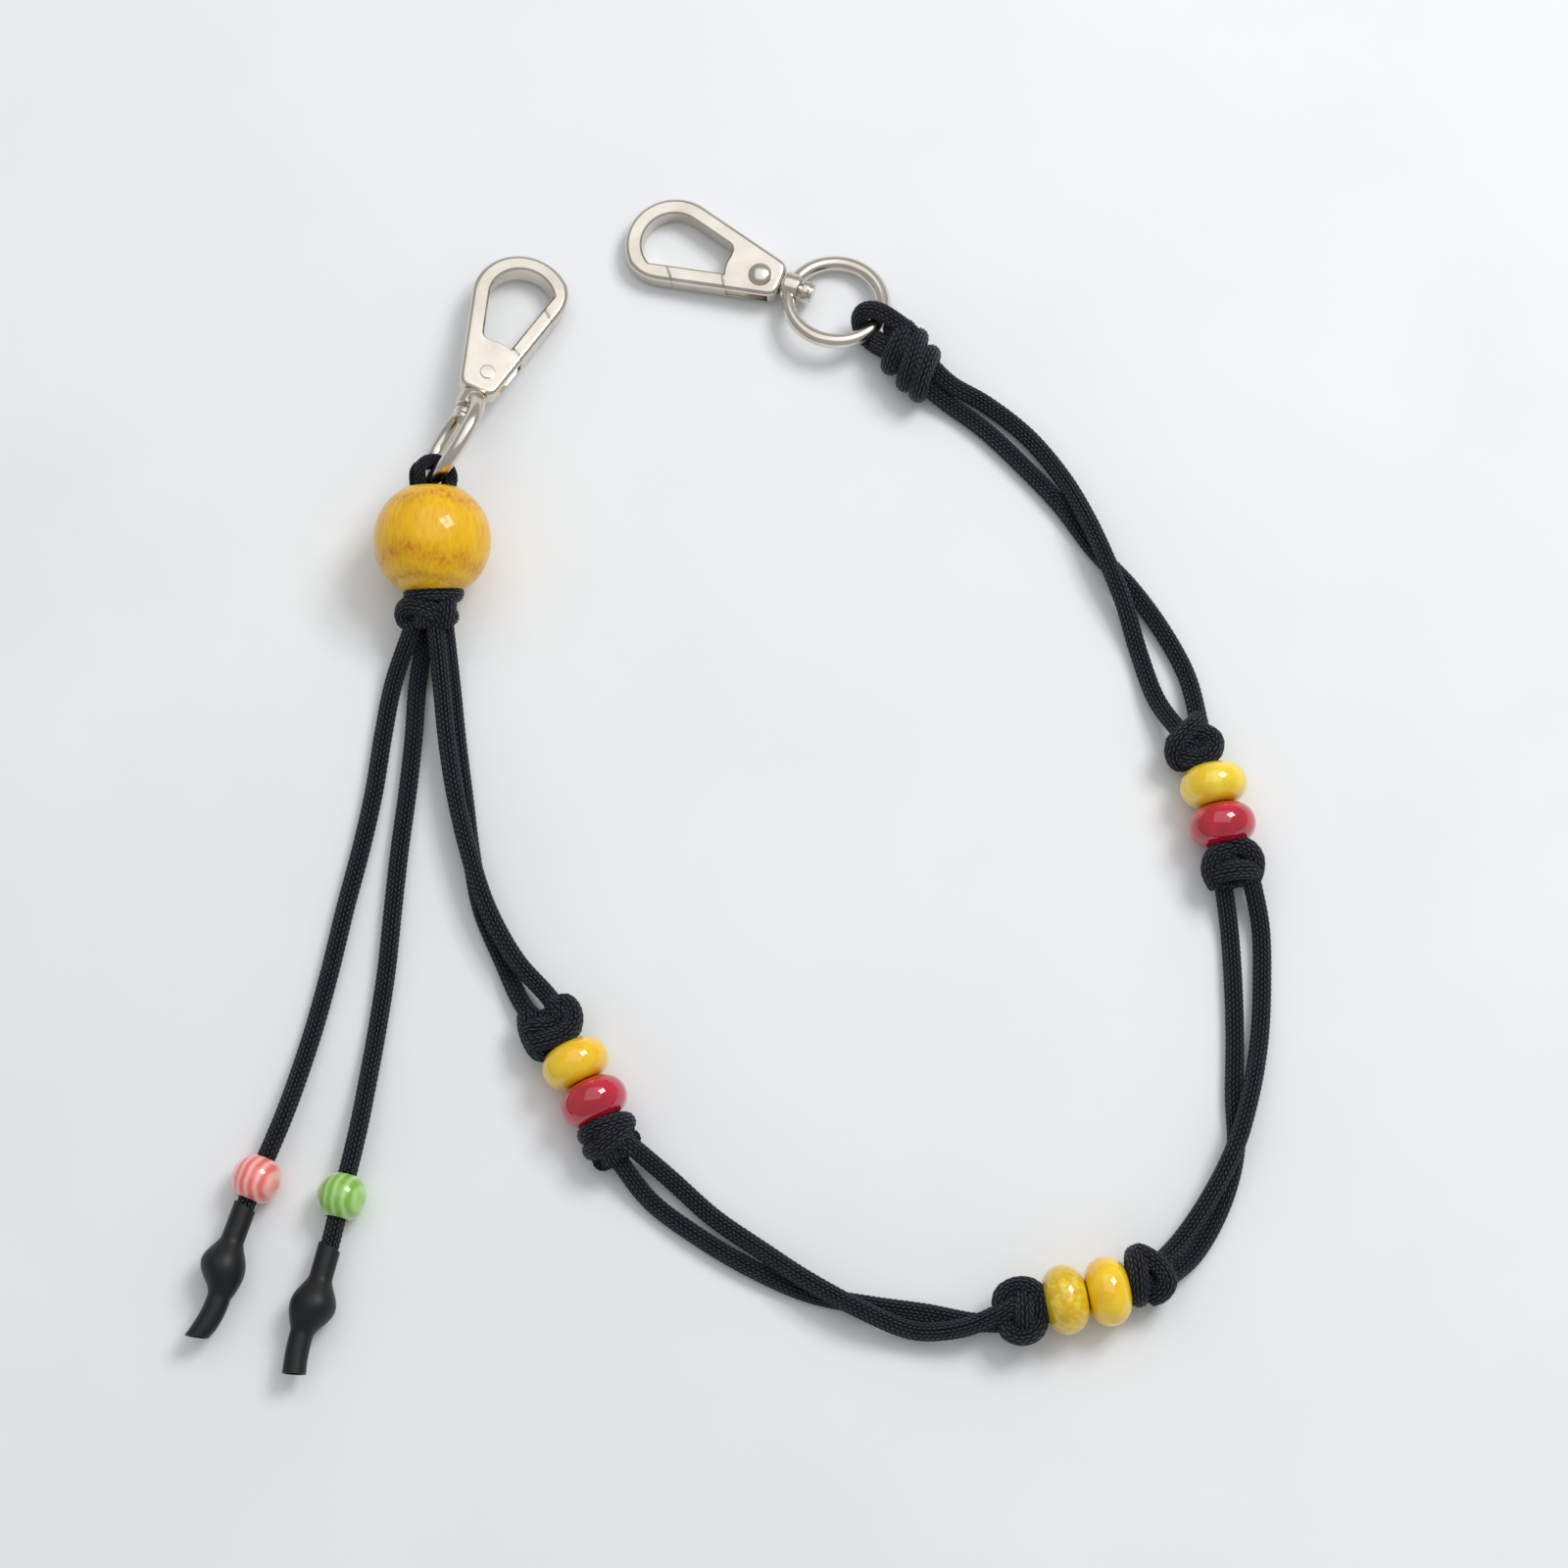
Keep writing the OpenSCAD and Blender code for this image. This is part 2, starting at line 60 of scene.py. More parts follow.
# columns of dashes round the braid
CARRIERS = 16
BEAD_D, BEAD_L, BEAD_HOLE = 14.3, 8.7, 5.7
TAIL_BEAD_D, TAIL_HOLE = 10.3, 4.5
BALL_D, BALL_HOLE, BALL_TILT = 25, 10.6, 10
SLEEVE_D, SLEEVE_WALL, BULGE_D = 4.8, 0.4, 9.4
EYE_R, EYE_IN_R, HOOK_T = 10.8, 7.1, 5
TAIL_X, TAIL_W = 25.3, 8
GATE_OUT_R, GATE_IN_R = 8.8, 5.3
EYE_BLEND, EYE_RUN_OUT, TAIL_CORNER, WORN_EDGE = 21, 4.2, 2.2, 1.15
FRONT_R = 8
PIVOT = Vector((20.4, -0.5))
SLOT_H, SLOT_END = 2.9, 23.4
GATE_TAIL_T = 2.7
RING_D, WIRE = 23.7, 3.2
BESIDE, RUNNING = 0.3, 0.1
BOSS_D, BOSS_T = 6.2, 3.8
POST_D, HEAD_D, HEAD_H = 2.8, 5, 2.2
RING_R = (RING_D - WIRE) / 2
RING_X = TAIL_X + BESIDE + BOSS_T / 2 + RING_R

HOOK_AT = {"a": (-12.4, 119.1, 3.1), "b": (-45.7, 105.3, 5.2)}
HOOK_TURN = {"a": (0, -3, -21), "b": (173, -11.7, -111.5)}
RING_ROLL = {"a": -13, "b": 66}
BALL_AT = (-63, 48.6, BALL_D / 2)
BALL_MOUTH = math.sqrt((BALL_D / 2) ** 2 - (BALL_HOLE / 2) ** 2)
HALF_KNOT_H, HALF_KNOT, HALF_GAP = 3.5, 4.5, 0.05
# from the ball's middle to knot H, and from a bead pair's middle to its knots and to its beads
KNOT_H_DROP = BALL_MOUTH + HALF_KNOT_H
KNOT_STEP = BEAD_L + BESIDE + HALF_GAP + HALF_KNOT
HALF_PAIR = BEAD_L / 2 + HALF_GAP
BEAD_Z = BEAD_D / 2
# middle of each bead pair and the heading of its hole
PAIRS = {"bc": ((102.3, -8, BEAD_Z), -80), "de": ((72.8, -110.7, BEAD_Z), 191),
         "gf": ((-29.5, -66.9, BEAD_Z), -64)}
TAIL_Z = TAIL_BEAD_D / 2
# tail bead, its heading, sleeve, its heading and its length
TAILS = {"left": ((-96.4, -86.6, TAIL_Z), -111.3, (-98.6, -92.2, TAIL_Z), -108.5, 28.5),
         "right": ((-78.9, -90.2, TAIL_Z), -102, (-81.1, -100.5, TAIL_Z), -104, 27)}
# how far along its sleeve each stopper knot sits
STOPPER_SHARE = 0.46

# ---- where each cord lies ----
ROUTES = {
    "strand_ab_over": [
        (42.6, 91, 6.4), (47.5, 86.8, 4.6), (55, 83, 2.6), (64, 75.5, 2.6), (71.5, 65.5, 3.6),
        (76.5, 55.5, 5.5), (80.5, 45.8, 6), (83.8, 37.5, 4.6), (87, 27, 2), (90.5, 16, 3.2), (95.6, 7, 6.9)],
    "strand_ab_under": [
        (41, 87.3, 4.4), (47, 83.2, 2.2), (54.5, 77.5, 2), (63, 69, 2), (71, 60, 2), (78, 50, 2),
        (85.5, 41.5, 2), (92, 32, 2), (97, 22, 2), (99, 12.5, 3.6), (99.4, 7.6, 5.4)],
    "strand_cd_over": [
        (108.5, -21.5, 6.6), (111, -33, 2.5), (111, -45, 2), (110, -57, 2.8), (107.5, -69, 5.3),
        (104, -80, 6), (98.5, -90.5, 5), (92.5, -99, 4.4), (87.6, -104.2, 6.6)],
    "strand_cd_under": [
        (103, -22.5, 5), (104.5, -33, 2), (105, -45, 2), (105, -57, 2), (104.5, -69, 2), (104.5, -80, 2),
        (101.5, -91, 2), (95.5, -101.5, 2), (88.3, -107.9, 4.9)],
    "strand_ef_over": [
        (-20.5, -79.2, 5.8), (-12, -86, 2.6), (-3, -94, 2.2), (6.8, -101, 3.9), (16.5, -107.6, 5.8),
        (27, -113.3, 5.9), (38, -117.4, 3.8), (48, -117, 5.8), (56.8, -113.6, 7.8)],
    "strand_ef_under": [
        (-23, -81.8, 4.6), (-16, -90.5, 2), (-6, -98, 2), (5, -104.5, 2), (17, -109.7, 2), (29, -112, 2),
        (40.5, -113.6, 2), (50, -115.4, 2), (57.3, -116, 4.6)],
    "strand_gh_over": [
        (-34.4, -52.3, 6.6), (-38, -47.6, 4.9), (-44, -41, 5.5), (-50.2, -30, 6), (-54.3, -18, 6),
        (-57.3, -6, 6), (-59.4, 6, 6), (-60.8, 18, 6.2), (-62.2, 31.6, 10.2)],
    "strand_gh_under": [
        (-38.6, -54, 5), (-42.2, -50.5, 3), (-47.2, -40, 2), (-51.8, -29, 2), (-54.2, -17, 2),
        (-55.9, -5, 2), (-57.6, 7, 2), (-58.9, 18, 2), (-60.4, 31.4, 6.8)],
    "tail_cord_left": [
        (-66.6, 31.6, 9), (-71.3, 20, 3), (-73.3, 9, 2), (-75, -4, 2), (-77.3, -16, 2), (-80.3, -29, 2),
        (-83, -42, 2), (-86, -54.5, 2), (-89, -65.5, 3.2)],
    "tail_cord_right": [
        (-64.4, 31.2, 5.8), (-66.4, 19, 2), (-66.9, 8, 2), (-67.9, -4, 2), (-69.2, -16, 2), (-70.3, -29, 2),
        (-71.3, -42, 2), (-72.8, -54, 2), (-74.4, -65.5, 3.2)],
}


# ---- small helpers ----
def linear(hex_colour):
    """An sRGB hex colour as the linear colour a shader wants."""
    parts = [int(hex_colour[i:i + 2], 16) / 255 for i in (1, 3, 5)]
    return [c / 12.92 if c <= 0.04045 else ((c + 0.055) / 1.055) ** 2.4 for c in parts] + [1]


def toward(angle):
    """The flat unit vector at an angle in degrees."""
    return Vector((math.cos(math.radians(angle)), math.sin(math.radians(angle))))


def placed(at, turn=(0, 0, 0)):
    """The matrix that puts a piece drawn in millimetres where it lies, in metres."""
    angles = [math.radians(a) for a in turn]
    return Matrix.Scale(MM, 4) @ Matrix.Translation(at) @ Euler(angles).to_matrix().to_4x4()


def ahead(at, heading, distance):
    """The point at a distance along a heading on the table."""
    return Vector(at) + distance * toward(heading).to_3d()


def feed(tree, node, inputs):
    """Gives a node its inputs: plain values, sockets to link, or nodes to link by their first output."""
    for key, value in inputs.items():
        if isinstance(value, bpy.types.Node):
            value = value.outputs[0]
        if isinstance(value, bpy.types.NodeSocket):
            tree.links.new(value, node.inputs[key])
        else:
            node.inputs[key].default_value = value


def add(tree, kind, settings=None, inputs=None):
    """Adds a node with its settings and inputs. A ramp's stops are (place, hex or linear colour)."""
    node = tree.nodes.new(kind)
    for key, value in (settings or {}).items():
        if key != "stops":
            setattr(node, key, value)
            continue
        points = node.color_ramp.elements
        while len(points) < len(value):
            points.new(0.5)
        for point, (place, colour) in zip(points, value):
            point.position = place
            point.color = linear(colour) if isinstance(colour, str) else colour
    feed(tree, node, inputs or {})
    return node


def linked(name, data):
    """A new object in the scene, from a mesh, curve, lamp or camera."""
    piece = bpy.data.objects.new(name, data)
    bpy.context.scene.collection.objects.link(piece)
    return piece


def made_plain(piece):
    """Turns what the modifiers make into the piece's own plain mesh."""
    graph = bpy.context.evaluated_depsgraph_get()
    mesh = bpy.data.meshes.new_from_object(piece.evaluated_get(graph))
    piece.modifiers.clear()
    piece.data = mesh
    return piece


def solid(name, shape, matrix=None):
    """A piece from (points, faces), with its faces turned outwards."""
    points, faces = shape
    mesh = bpy.data.meshes.new(name)
    mesh.from_pydata([tuple(p) for p in points], [], faces)
    form = bmesh.new()
    form.from_mesh(mesh)
    bmesh.ops.recalc_face_normals(form, faces=form.faces)
    form.to_mesh(mesh)
    form.free()
    if matrix:
        mesh.transform(matrix)
    return linked(name, mesh)


def carve(piece, shape, operation="DIFFERENCE"):
    """Cuts a shape from a piece, joins it on, or keeps what they share."""
    tool = solid("tool", shape)
    step = piece.modifiers.new("carve", "BOOLEAN")
    step.operation, step.solver, step.object = operation, "EXACT", tool
    made_plain(piece)
    bpy.data.objects.remove(tool)
    return piece


def finished(piece, material, body, *nodes, sharp=35):
    """Smooth shading, its material, the body it rides on and the CAD nodes it stands for."""
    piece.data.materials.clear()
    piece.data.materials.append(bpy.data.materials[material])
    piece.data.polygons.foreach_set("use_smooth", [True] * len(piece.data.polygons))
    piece.data.set_sharp_from_angle(angle=math.radians(sharp))
    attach(piece, body)
    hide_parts(*nodes)
    return piece


# ---- shapes ----
def softened(points, radius, closed=True, steps=5):
    """A line with each of its corners rounded."""
    points = [Vector(p) for p in points]
    out = []
    for i, p in enumerate(points):
        if not closed and i in (0, len(points) - 1):
            out.append(p)
            continue
        before, after = points[i - 1] - p, points[(i + 1) % len(points)] - p
        if before.angle(after, math.pi) > math.radians(155):
            out.append(p)
            continue
        start = p + before * min(radius / before.length, 0.45)
        end = p + after * min(radius / after.length, 0.45)
        for s in range(steps + 1):
            t = s / steps
            out.append(start * (1 - t) ** 2 + p * 2 * t * (1 - t) + end * t ** 2)
    return out


def arc(centre, radius, start, stop, steps=24):
    return [Vector(centre) + radius * toward(start + (stop - start) * i / steps) for i in range(steps + 1)]


def plate(outline, profile):
    """A flat piece: its outline drawn again at each (height, inset) of the profile."""
    n = len(outline)
    mitres = []
    for i in range(n):
        a, b, c = outline[i - 1], outline[i], outline[(i + 1) % n]
        first, second = (b - a).normalized(), (c - b).normalized()
        first, second = Vector((first.y, -first.x)), Vector((second.y, -second.x))
        mitres.append((first + second) / max(1 + first.dot(second), 0.3))
    points = [(*(p - inset * m), z) for z, inset in profile for p, m in zip(outline, mitres)]
    faces = [(k * n + i, k * n + (i + 1) % n, (k + 1) * n + (i + 1) % n, (k + 1) * n + i)
             for k in range(len(profile) - 1) for i in range(n)]
    faces += [tuple(range(n))[::-1], tuple((len(profile) - 1) * n + i for i in range(n))]
    return points, faces


def turned(profile, closed=False, sides=96):
    """A shape turned about X from (place along X, radius) points."""
    points, rings = [], []
    for x, r in profile:
        count = 1 if r < 1e-6 else sides
        rings.append([len(points) + i for i in range(count)])
        points += [(x, r * math.cos(math.tau * i / sides), r * math.sin(math.tau * i / sides))
                   for i in range(count)]
    faces = []
    for a, b in zip(rings, rings[1:] + (rings[:1] if closed else [])):
        for i in range(sides):
            j = (i + 1) % sides
            corners = [a[i % len(a)], a[j % len(a)], b[j % len(b)], b[i % len(b)]]
            faces.append(tuple(dict.fromkeys(corners)))
    return points, faces


def about_z(shape):
    """The same shape with its axis turned from X to Z."""
    return [(-p[2], p[1], p[0]) for p in shape[0]], shape[1]


def moved(shape, x, y=0, z=0):
    return [(p[0] + x, p[1] + y, p[2] + z) for p in shape[0]], shape[1]


# ---- cord made by geometry nodes ----
def braid(tree, along, ring, carriers, pitch):
    """How high the braid stands, 0 to 1, from the distance along the cord and the direction round it."""
    sides = add(tree, "ShaderNodeSeparateXYZ", None, {0: ring}).outputs
    made = {"x": sides[0], "y": sides[1], "along": along, "carriers": carriers, "pitch": pitch}
    # each step is its name, its operation and its values, which may be earlier steps
    for name, operation, *values in (
            ("angle", "ARCTAN2", "y", "x"),
            ("turns", "DIVIDE", "angle", math.tau),
            ("column", "MULTIPLY", "turns", "carriers"),
            ("number", "FLOOR", "column"),
            ("odd", "FLOORED_MODULO", "number", 2),
            ("across", "FRACT", "column"),
            ("aside", "SUBTRACT", "across", 0.5),
            ("lean", "MULTIPLY_ADD", "odd", 2, -1),
            ("slant", "MULTIPLY", "aside", "lean"),
            ("climb", "MULTIPLY", "slant", 0.9),
            ("rows", "DIVIDE", "along", "pitch"),
            ("slanted", "ADD", "rows", "climb"),
            ("row", "MULTIPLY_ADD", "odd", 0.5, "slanted"),
            ("part", "FRACT", "row"),
            ("dash_turn", "MULTIPLY", "part", math.pi),
            ("dash", "SINE", "dash_turn"),
            ("width_turn", "MULTIPLY", "across", math.pi),
            ("width", "SINE", "width_turn"),
            ("mound", "MULTIPLY", "dash", "width"),
            ("height", "POWER", "mound", 0.7)):
        values = {i: made.get(value, value) for i, value in enumerate(values)}
        made[name] = add(tree, "ShaderNodeMath", {"operation": operation}, values)
    return made["height"]


def cord_tree():
    """Sweeps a braided cord along each spline of a curve."""
    tree = bpy.data.node_groups.new("Braided cord", "GeometryNodeTree")
    face = tree.interface
    face.new_socket("Geometry", in_out="OUTPUT", socket_type="NodeSocketGeometry")
    face.new_socket("Geometry", in_out="INPUT", socket_type="NodeSocketGeometry")
    for name, value in (("Diameter", CORD * MM), ("Step", 0.3 * MM), ("Relief", 0.2 * MM),
                        ("Pitch", 1.15 * MM), ("Carriers", CARRIERS)):
        face.new_socket(name, in_out="INPUT", socket_type="NodeSocketFloat").default_value = value
    face.new_socket("Material", in_out="INPUT", socket_type="NodeSocketMaterial")
    given = {socket.name: socket for socket in tree.nodes.new("NodeGroupInput").outputs}
    fine = add(tree, "GeometryNodeResampleCurve", {"mode": "LENGTH"},
               {"Curve": given["Geometry"], "Length": given["Step"]})
    length = add(tree, "GeometryNodeSplineParameter").outputs["Length"]
    line = add(tree, "GeometryNodeStoreNamedAttribute", {"data_type": "FLOAT", "domain": "POINT"},
               {"Geometry": fine, "Name": "along", "Value": length})
    radius = add(tree, "ShaderNodeMath", {"operation": "MULTIPLY"}, {0: given["Diameter"], 1: 0.5})
    circle = add(tree, "GeometryNodeCurvePrimitiveCircle", None, {"Resolution": 64, "Radius": radius})
    circle = add(tree, "GeometryNodeStoreNamedAttribute", {"data_type": "FLOAT_VECTOR", "domain": "POINT"},
                 {"Geometry": circle, "Name": "ring", "Value": add(tree, "GeometryNodeInputPosition")})
    tube = add(tree, "GeometryNodeCurveToMesh", None,
               {"Curve": line, "Profile Curve": circle, "Fill Caps": True})
    along = add(tree, "GeometryNodeInputNamedAttribute", {"data_type": "FLOAT"}, {"Name": "along"})
    ring = add(tree, "GeometryNodeInputNamedAttribute", {"data_type": "FLOAT_VECTOR"}, {"Name": "ring"})
    height = braid(tree, along.outputs[0], ring.outputs[0], given["Carriers"], given["Pitch"])
    # the valleys sink a little more than the strands rise, so that the cord keeps its diameter
    over = add(tree, "ShaderNodeMath", {"operation": "SUBTRACT"}, {0: height, 1: 0.6})
    rise = add(tree, "ShaderNodeMath", {"operation": "MULTIPLY"}, {0: over, 1: given["Relief"]})
    offset = add(tree, "ShaderNodeVectorMath", {"operation": "SCALE"},
                 {0: add(tree, "GeometryNodeInputNormal"), "Scale": rise})
    raised = add(tree, "GeometryNodeSetPosition", None, {"Geometry": tube, "Offset": offset})
    plain = add(tree, "GeometryNodeRealizeInstances", None, {0: raised})
    dressed = add(tree, "GeometryNodeSetMaterial", None, {"Geometry": plain, "Material": given["Material"]})
    add(tree, "NodeGroupOutput", None, {0: dressed})
    return tree


def smooth_path(route, step=0.8):
    """Points about a step apart, in millimetres, on a smooth curve through the route."""
    route = [Vector(p) for p in route]
    ends = [2 * route[0] - route[1]] + route + [2 * route[-1] - route[-2]]
    out = []
    for a, b, c, d in zip(ends, ends[1:], ends[2:], ends[3:]):
        count = max(2, round((c - b).length / step))
        # centripetal knots keep the curve from looping where points are unevenly spaced
        t1 = (b - a).length ** 0.5
        t2 = t1 + (c - b).length ** 0.5
        t3 = t2 + (d - c).length ** 0.5
        for i in range(count):
            t = t1 + (t2 - t1) * i / count
            ab = a.lerp(b, t / t1)
            bc = b.lerp(c, (t - t1) / (t2 - t1))
            cd = c.lerp(d, (t - t2) / (t3 - t2))
            abc = ab.lerp(bc, t / t2)
            bcd = bc.lerp(cd, (t - t1) / (t3 - t1))
            out.append(abc.lerp(bcd, (t - t1) / (t2 - t1)))
    return out + [route[-1]]


def corded(name, paths, nodes, diameter=CORD, matrix=None, closed=()):
    """Braided cord along each path, given in millimetres, as one piece that stands for the CAD nodes."""
    curve = bpy.data.curves.new(name, "CURVE")
    curve.dimensions = "3D"
    for number, path in enumerate(paths):
        line = curve.splines.new("POLY")
        line.points.add(len(path) - 1)
        for point, place in zip(line.points, path):
            point.co = (*(Vector(place) * MM if matrix is None else matrix @ Vector(place)), 1)
        line.use_cyclic_u = number in closed
    piece = linked(name, curve)
    sweep = piece.modifiers.new("cord", "NODES")
    sweep.node_group = bpy.data.node_groups.get("Braided cord") or cord_tree()
    sizes = bpy.context.scene.strap_sizes
    values = {"Diameter": diameter * MM, "Material": bpy.data.materials["Braided nylon"],
              "Pitch": sizes.braid_pitch, "Relief": sizes.braid_relief}
    for item in sweep.node_group.interface.items_tree:
        if item.in_out == "INPUT" and item.name in values:
            sweep[item.identifier] = values[item.name]
    graph = bpy.context.evaluated_depsgraph_get()
    mesh = bpy.data.meshes.new_from_object(piece.evaluated_get(graph))
    bpy.data.objects.remove(piece)
    return finished(linked(name, mesh), "Braided nylon", "strap", *nodes, sharp=180)


# ---- materials ----
def material(name):
    """A new material's node tree, its shader and the place on the piece."""
    made = bpy.data.materials.new(name)
    made.use_nodes = True
    tree = made.node_tree
    return tree, tree.nodes["Principled BSDF"], add(tree, "ShaderNodeTexCoord").outputs["Object"]


def braided_nylon():
    """Nylon sheath braided over a core: small dashes in slanting rows; the colour paints shade into the
    valleys between them and a soft blue-grey highlight onto each dash's crest.
    """
    tree, shader, where = material("Braided nylon")
    scene = bpy.context.scene
    along = add(tree, "ShaderNodeAttribute", {"attribute_name": "along"}).outputs["Fac"]
    ring = add(tree, "ShaderNodeAttribute", {"attribute_name": "ring"}).outputs["Vector"]
    height = braid(tree, along, ring, CARRIERS, scene.strap_sizes.braid_pitch)
    # painted shade and highlight: near-black in the valleys between the strands, rising to the painted
    # blue-grey highlight colour on the crests
    stops = [(0.3, "#010102"), (0.68, "#0b0d11"), (0.98, scene.strap_colours.cord)]
    colour = add(tree, "ShaderNodeValToRGB", {"stops": stops}, {0: height})
    fibre = add(tree, "ShaderNodeTexNoise", None, {"Vector": where, "Scale": 1 / (0.25 * MM), "Detail": 2})
    total = add(tree, "ShaderNodeMath", {"operation": "MULTIPLY_ADD"}, {0: fibre, 1: 0.25, 2: height})
    bump = add(tree, "ShaderNodeBump", None, {"Height": total, "Distance": 0.32 * MM})
    feed(tree, shader, {"Base Color": colour, "Normal": bump, "Roughness": 0.42, "Specular IOR Level": 0.3,
                        "Sheen Weight": 0.06, "Sheen Roughness": 0.5, "Sheen Tint": linear("#aab4c4")})


def nickel():
    """Nickel plate on a zinc casting, tumbled and buffed: warm, bright, with faint drag marks."""
    tree, shader, where = material("Nickel plate")
    drag = add(tree, "ShaderNodeMapping", None,
               {"Vector": where, "Scale": (1, 6, 1), "Rotation": (0, 0, 0.6)})
    fine = add(tree, "ShaderNodeTexNoise", None,
               {"Vector": drag, "Scale": 1 / (1.2 * MM), "Detail": 5, "Roughness": 0.65})
    broad = add(tree, "ShaderNodeTexNoise", None, {"Vector": where, "Scale": 1 / (7 * MM), "Detail": 2})
    shade = add(tree, "ShaderNodeValToRGB", {"stops": [(0.3, "#cfc7ba"), (0.7, "#e0dacf")]}, {0: broad})
    rough = add(tree, "ShaderNodeMapRange", None, {"Value": fine, "To Min": 0.14, "To Max": 0.3})
    bump = add(tree, "ShaderNodeBump", None, {"Height": fine, "Distance": 0.006 * MM})
    feed(tree, shader, {"Base Color": shade, "Roughness": rough, "Metallic": 1, "Normal": bump})


def lacquered_wood():
    """A turned wooden ball under clear amber lacquer: growth lines, small pores and a hard gloss."""
    tree, shader, where = material("Lacquered wood")
    centre = [-MM * c for c in BALL_AT]
    local = add(tree, "ShaderNodeMapping", None, {"Vector": where, "Location": centre})
    grain = add(tree, "ShaderNodeMapping", None,
                {"Vector": local, "Scale": (1, 0.18, 1), "Rotation": (0.2, 0.3, 0.25)})
    rings = add(tree, "ShaderNodeTexWave", {"wave_type": "RINGS", "rings_direction": "Y"},
                {"Vector": grain, "Scale": 1 / (11 * MM), "Distortion": 3, "Detail": 2,
                 "Detail Scale": 1.4})
    pores = add(tree, "ShaderNodeTexNoise", None, {"Vector": grain, "Scale": 1 / (0.7 * MM), "Detail": 4})
    lines = add(tree, "ShaderNodeMath", {"operation": "MULTIPLY"}, {0: rings.outputs["Fac"], 1: 0.22})
    both = add(tree, "ShaderNodeMath", {"operation": "MULTIPLY_ADD"}, {0: pores, 1: 0.8, 2: lines})
    stops = [(0.28, "#c68408"), (0.4, "#dfa208"), (0.58, bpy.context.scene.strap_colours.wood),
             (0.85, "#f5c61a")]
    colour = add(tree, "ShaderNodeValToRGB", {"stops": stops}, {0: both})
    bump = add(tree, "ShaderNodeBump", None, {"Height": pores, "Distance": 0.02 * MM})
    feed(tree, shader, {"Base Color": colour, "Normal": bump, "Roughness": 0.42, "Specular IOR Level": 0.2,
                        "Coat Weight": 0.6, "Coat Roughness": 0.04, "Subsurface Weight": 0.05,
                        "Subsurface Radius": (1, 0.6, 0.2), "Subsurface Scale": 2 * MM})


def glass(name, deep, bright, clear, milk, speck=0):
    """Lampworked glass: fire-polished and glossy, with drawn streaks of colour in its depth."""
    tree, shader, where = material(name)
    streak = 1.6 if speck else 5
    noise = add(tree, "ShaderNodeTexNoise", None,
                {"Vector": where, "Scale": 1 / (streak * MM), "Detail": 3 + speck})
    stops = [(0.38 + 0.08 * speck, deep), (0.62, bright)]
    colour = add(tree, "ShaderNodeValToRGB", {"stops": stops}, {0: noise})
    feed(tree, shader, {"Base Color": colour, "Roughness": 0.05, "IOR": 1.52, "Transmission Weight": clear,
                        "Subsurface Weight": milk, "Subsurface Radius": (1, 0.9, 0.5),
                        "Subsurface Scale": 3 * MM, "Coat Weight": 0.8, "Coat Roughness": 0.02})


def pearl(side, dark, light, shine):
    """Pearly acrylic: satin bands that follow the hole, under a clear skin."""
    tree, shader, where = material("Pearly acrylic, " + side)
    centre, heading = TAILS[side][:2]
    local = add(tree, "ShaderNodeMapping", {"vector_type": "TEXTURE"},
                {"Vector": where, "Location": [c * MM for c in centre],
                 "Rotation": (0.4, 0, math.radians(heading))})
    bands = add(tree, "ShaderNodeTexWave", {"wave_type": "BANDS", "bands_direction": "Y"},
                {"Vector": local, "Scale": 1 / (6 * MM), "Distortion": 1.8, "Detail": 3,
                 "Detail Scale": 1.2})
    stops = [(0.1, dark), (0.55, light), (0.95, shine)]
    colour = add(tree, "ShaderNodeValToRGB", {"stops": stops}, {0: bands.outputs["Fac"]})
    feed(tree, shader, {"Base Color": colour, "Roughness": 0.22, "Coat Weight": 0.8, "Coat Roughness": 0.05,
                        "Sheen Weight": 0.3, "Subsurface Weight": 0.2, "Subsurface Scale": 1.5 * MM})


def shrink_tube():
    """Polyolefin heat-shrink: matte black with a faint waxy grain."""
    tree, shader, where = material("Heat-shrink tube")
    grain = add(tree, "ShaderNodeTexNoise", None, {"Vector": where, "Scale": 1 / (0.35 * MM), "Detail": 3})
    colour = add(tree, "ShaderNodeValToRGB", {"stops": [(0.3, "#101112"), (0.7, "#191b1d")]}, {0: grain})
    bump = add(tree, "ShaderNodeBump", None, {"Height": grain, "Distance": 0.02 * MM})
    feed(tree, shader, {"Base Color": colour, "Normal": bump, "Roughness": 0.45,
                        "Specular IOR Level": 0.35})


def floor_paper():
    """Matte white paper sweep, faintly uneven in tone."""
    tree, shader, where = material("Studio paper")
    cloud = add(tree, "ShaderNodeTexNoise", None, {"Vector": where, "Scale": 1 / (60 * MM), "Detail": 3})
    colour = add(tree, "ShaderNodeValToRGB", {"stops": [(0.3, "#e9ebed"), (0.7, "#edeff0")]}, {0: cloud})
    feed(tree, shader, {"Base Color": colour, "Roughness": 0.7, "Specular IOR Level": 0.2})


def all_materials():
    colours = bpy.context.scene.strap_colours
    braided_nylon()
    nickel()
    lacquered_wood()
    # deep and bright tone, how clear, how milky, and specks
    glass("Yellow glass, milky", "#ecc41a", colours.yellow_glass, 0, 0.35)
    glass("Yellow glass, opaque", "#f4c00c", "#fbd222", 0, 0.2)
    glass("Yellow glass, clear", "#e4ba18", "#f3d636", 0.06, 0.5, 1)
    glass("Red glass", "#ac0c28", colours.red_glass, 0, 0.12)
    pearl("left", "#ee7068", colours.coral, "#fab8b0")
    pearl("right", "#84b446", colours.green, "#aad880")
    shrink_tube()
    floor_paper()


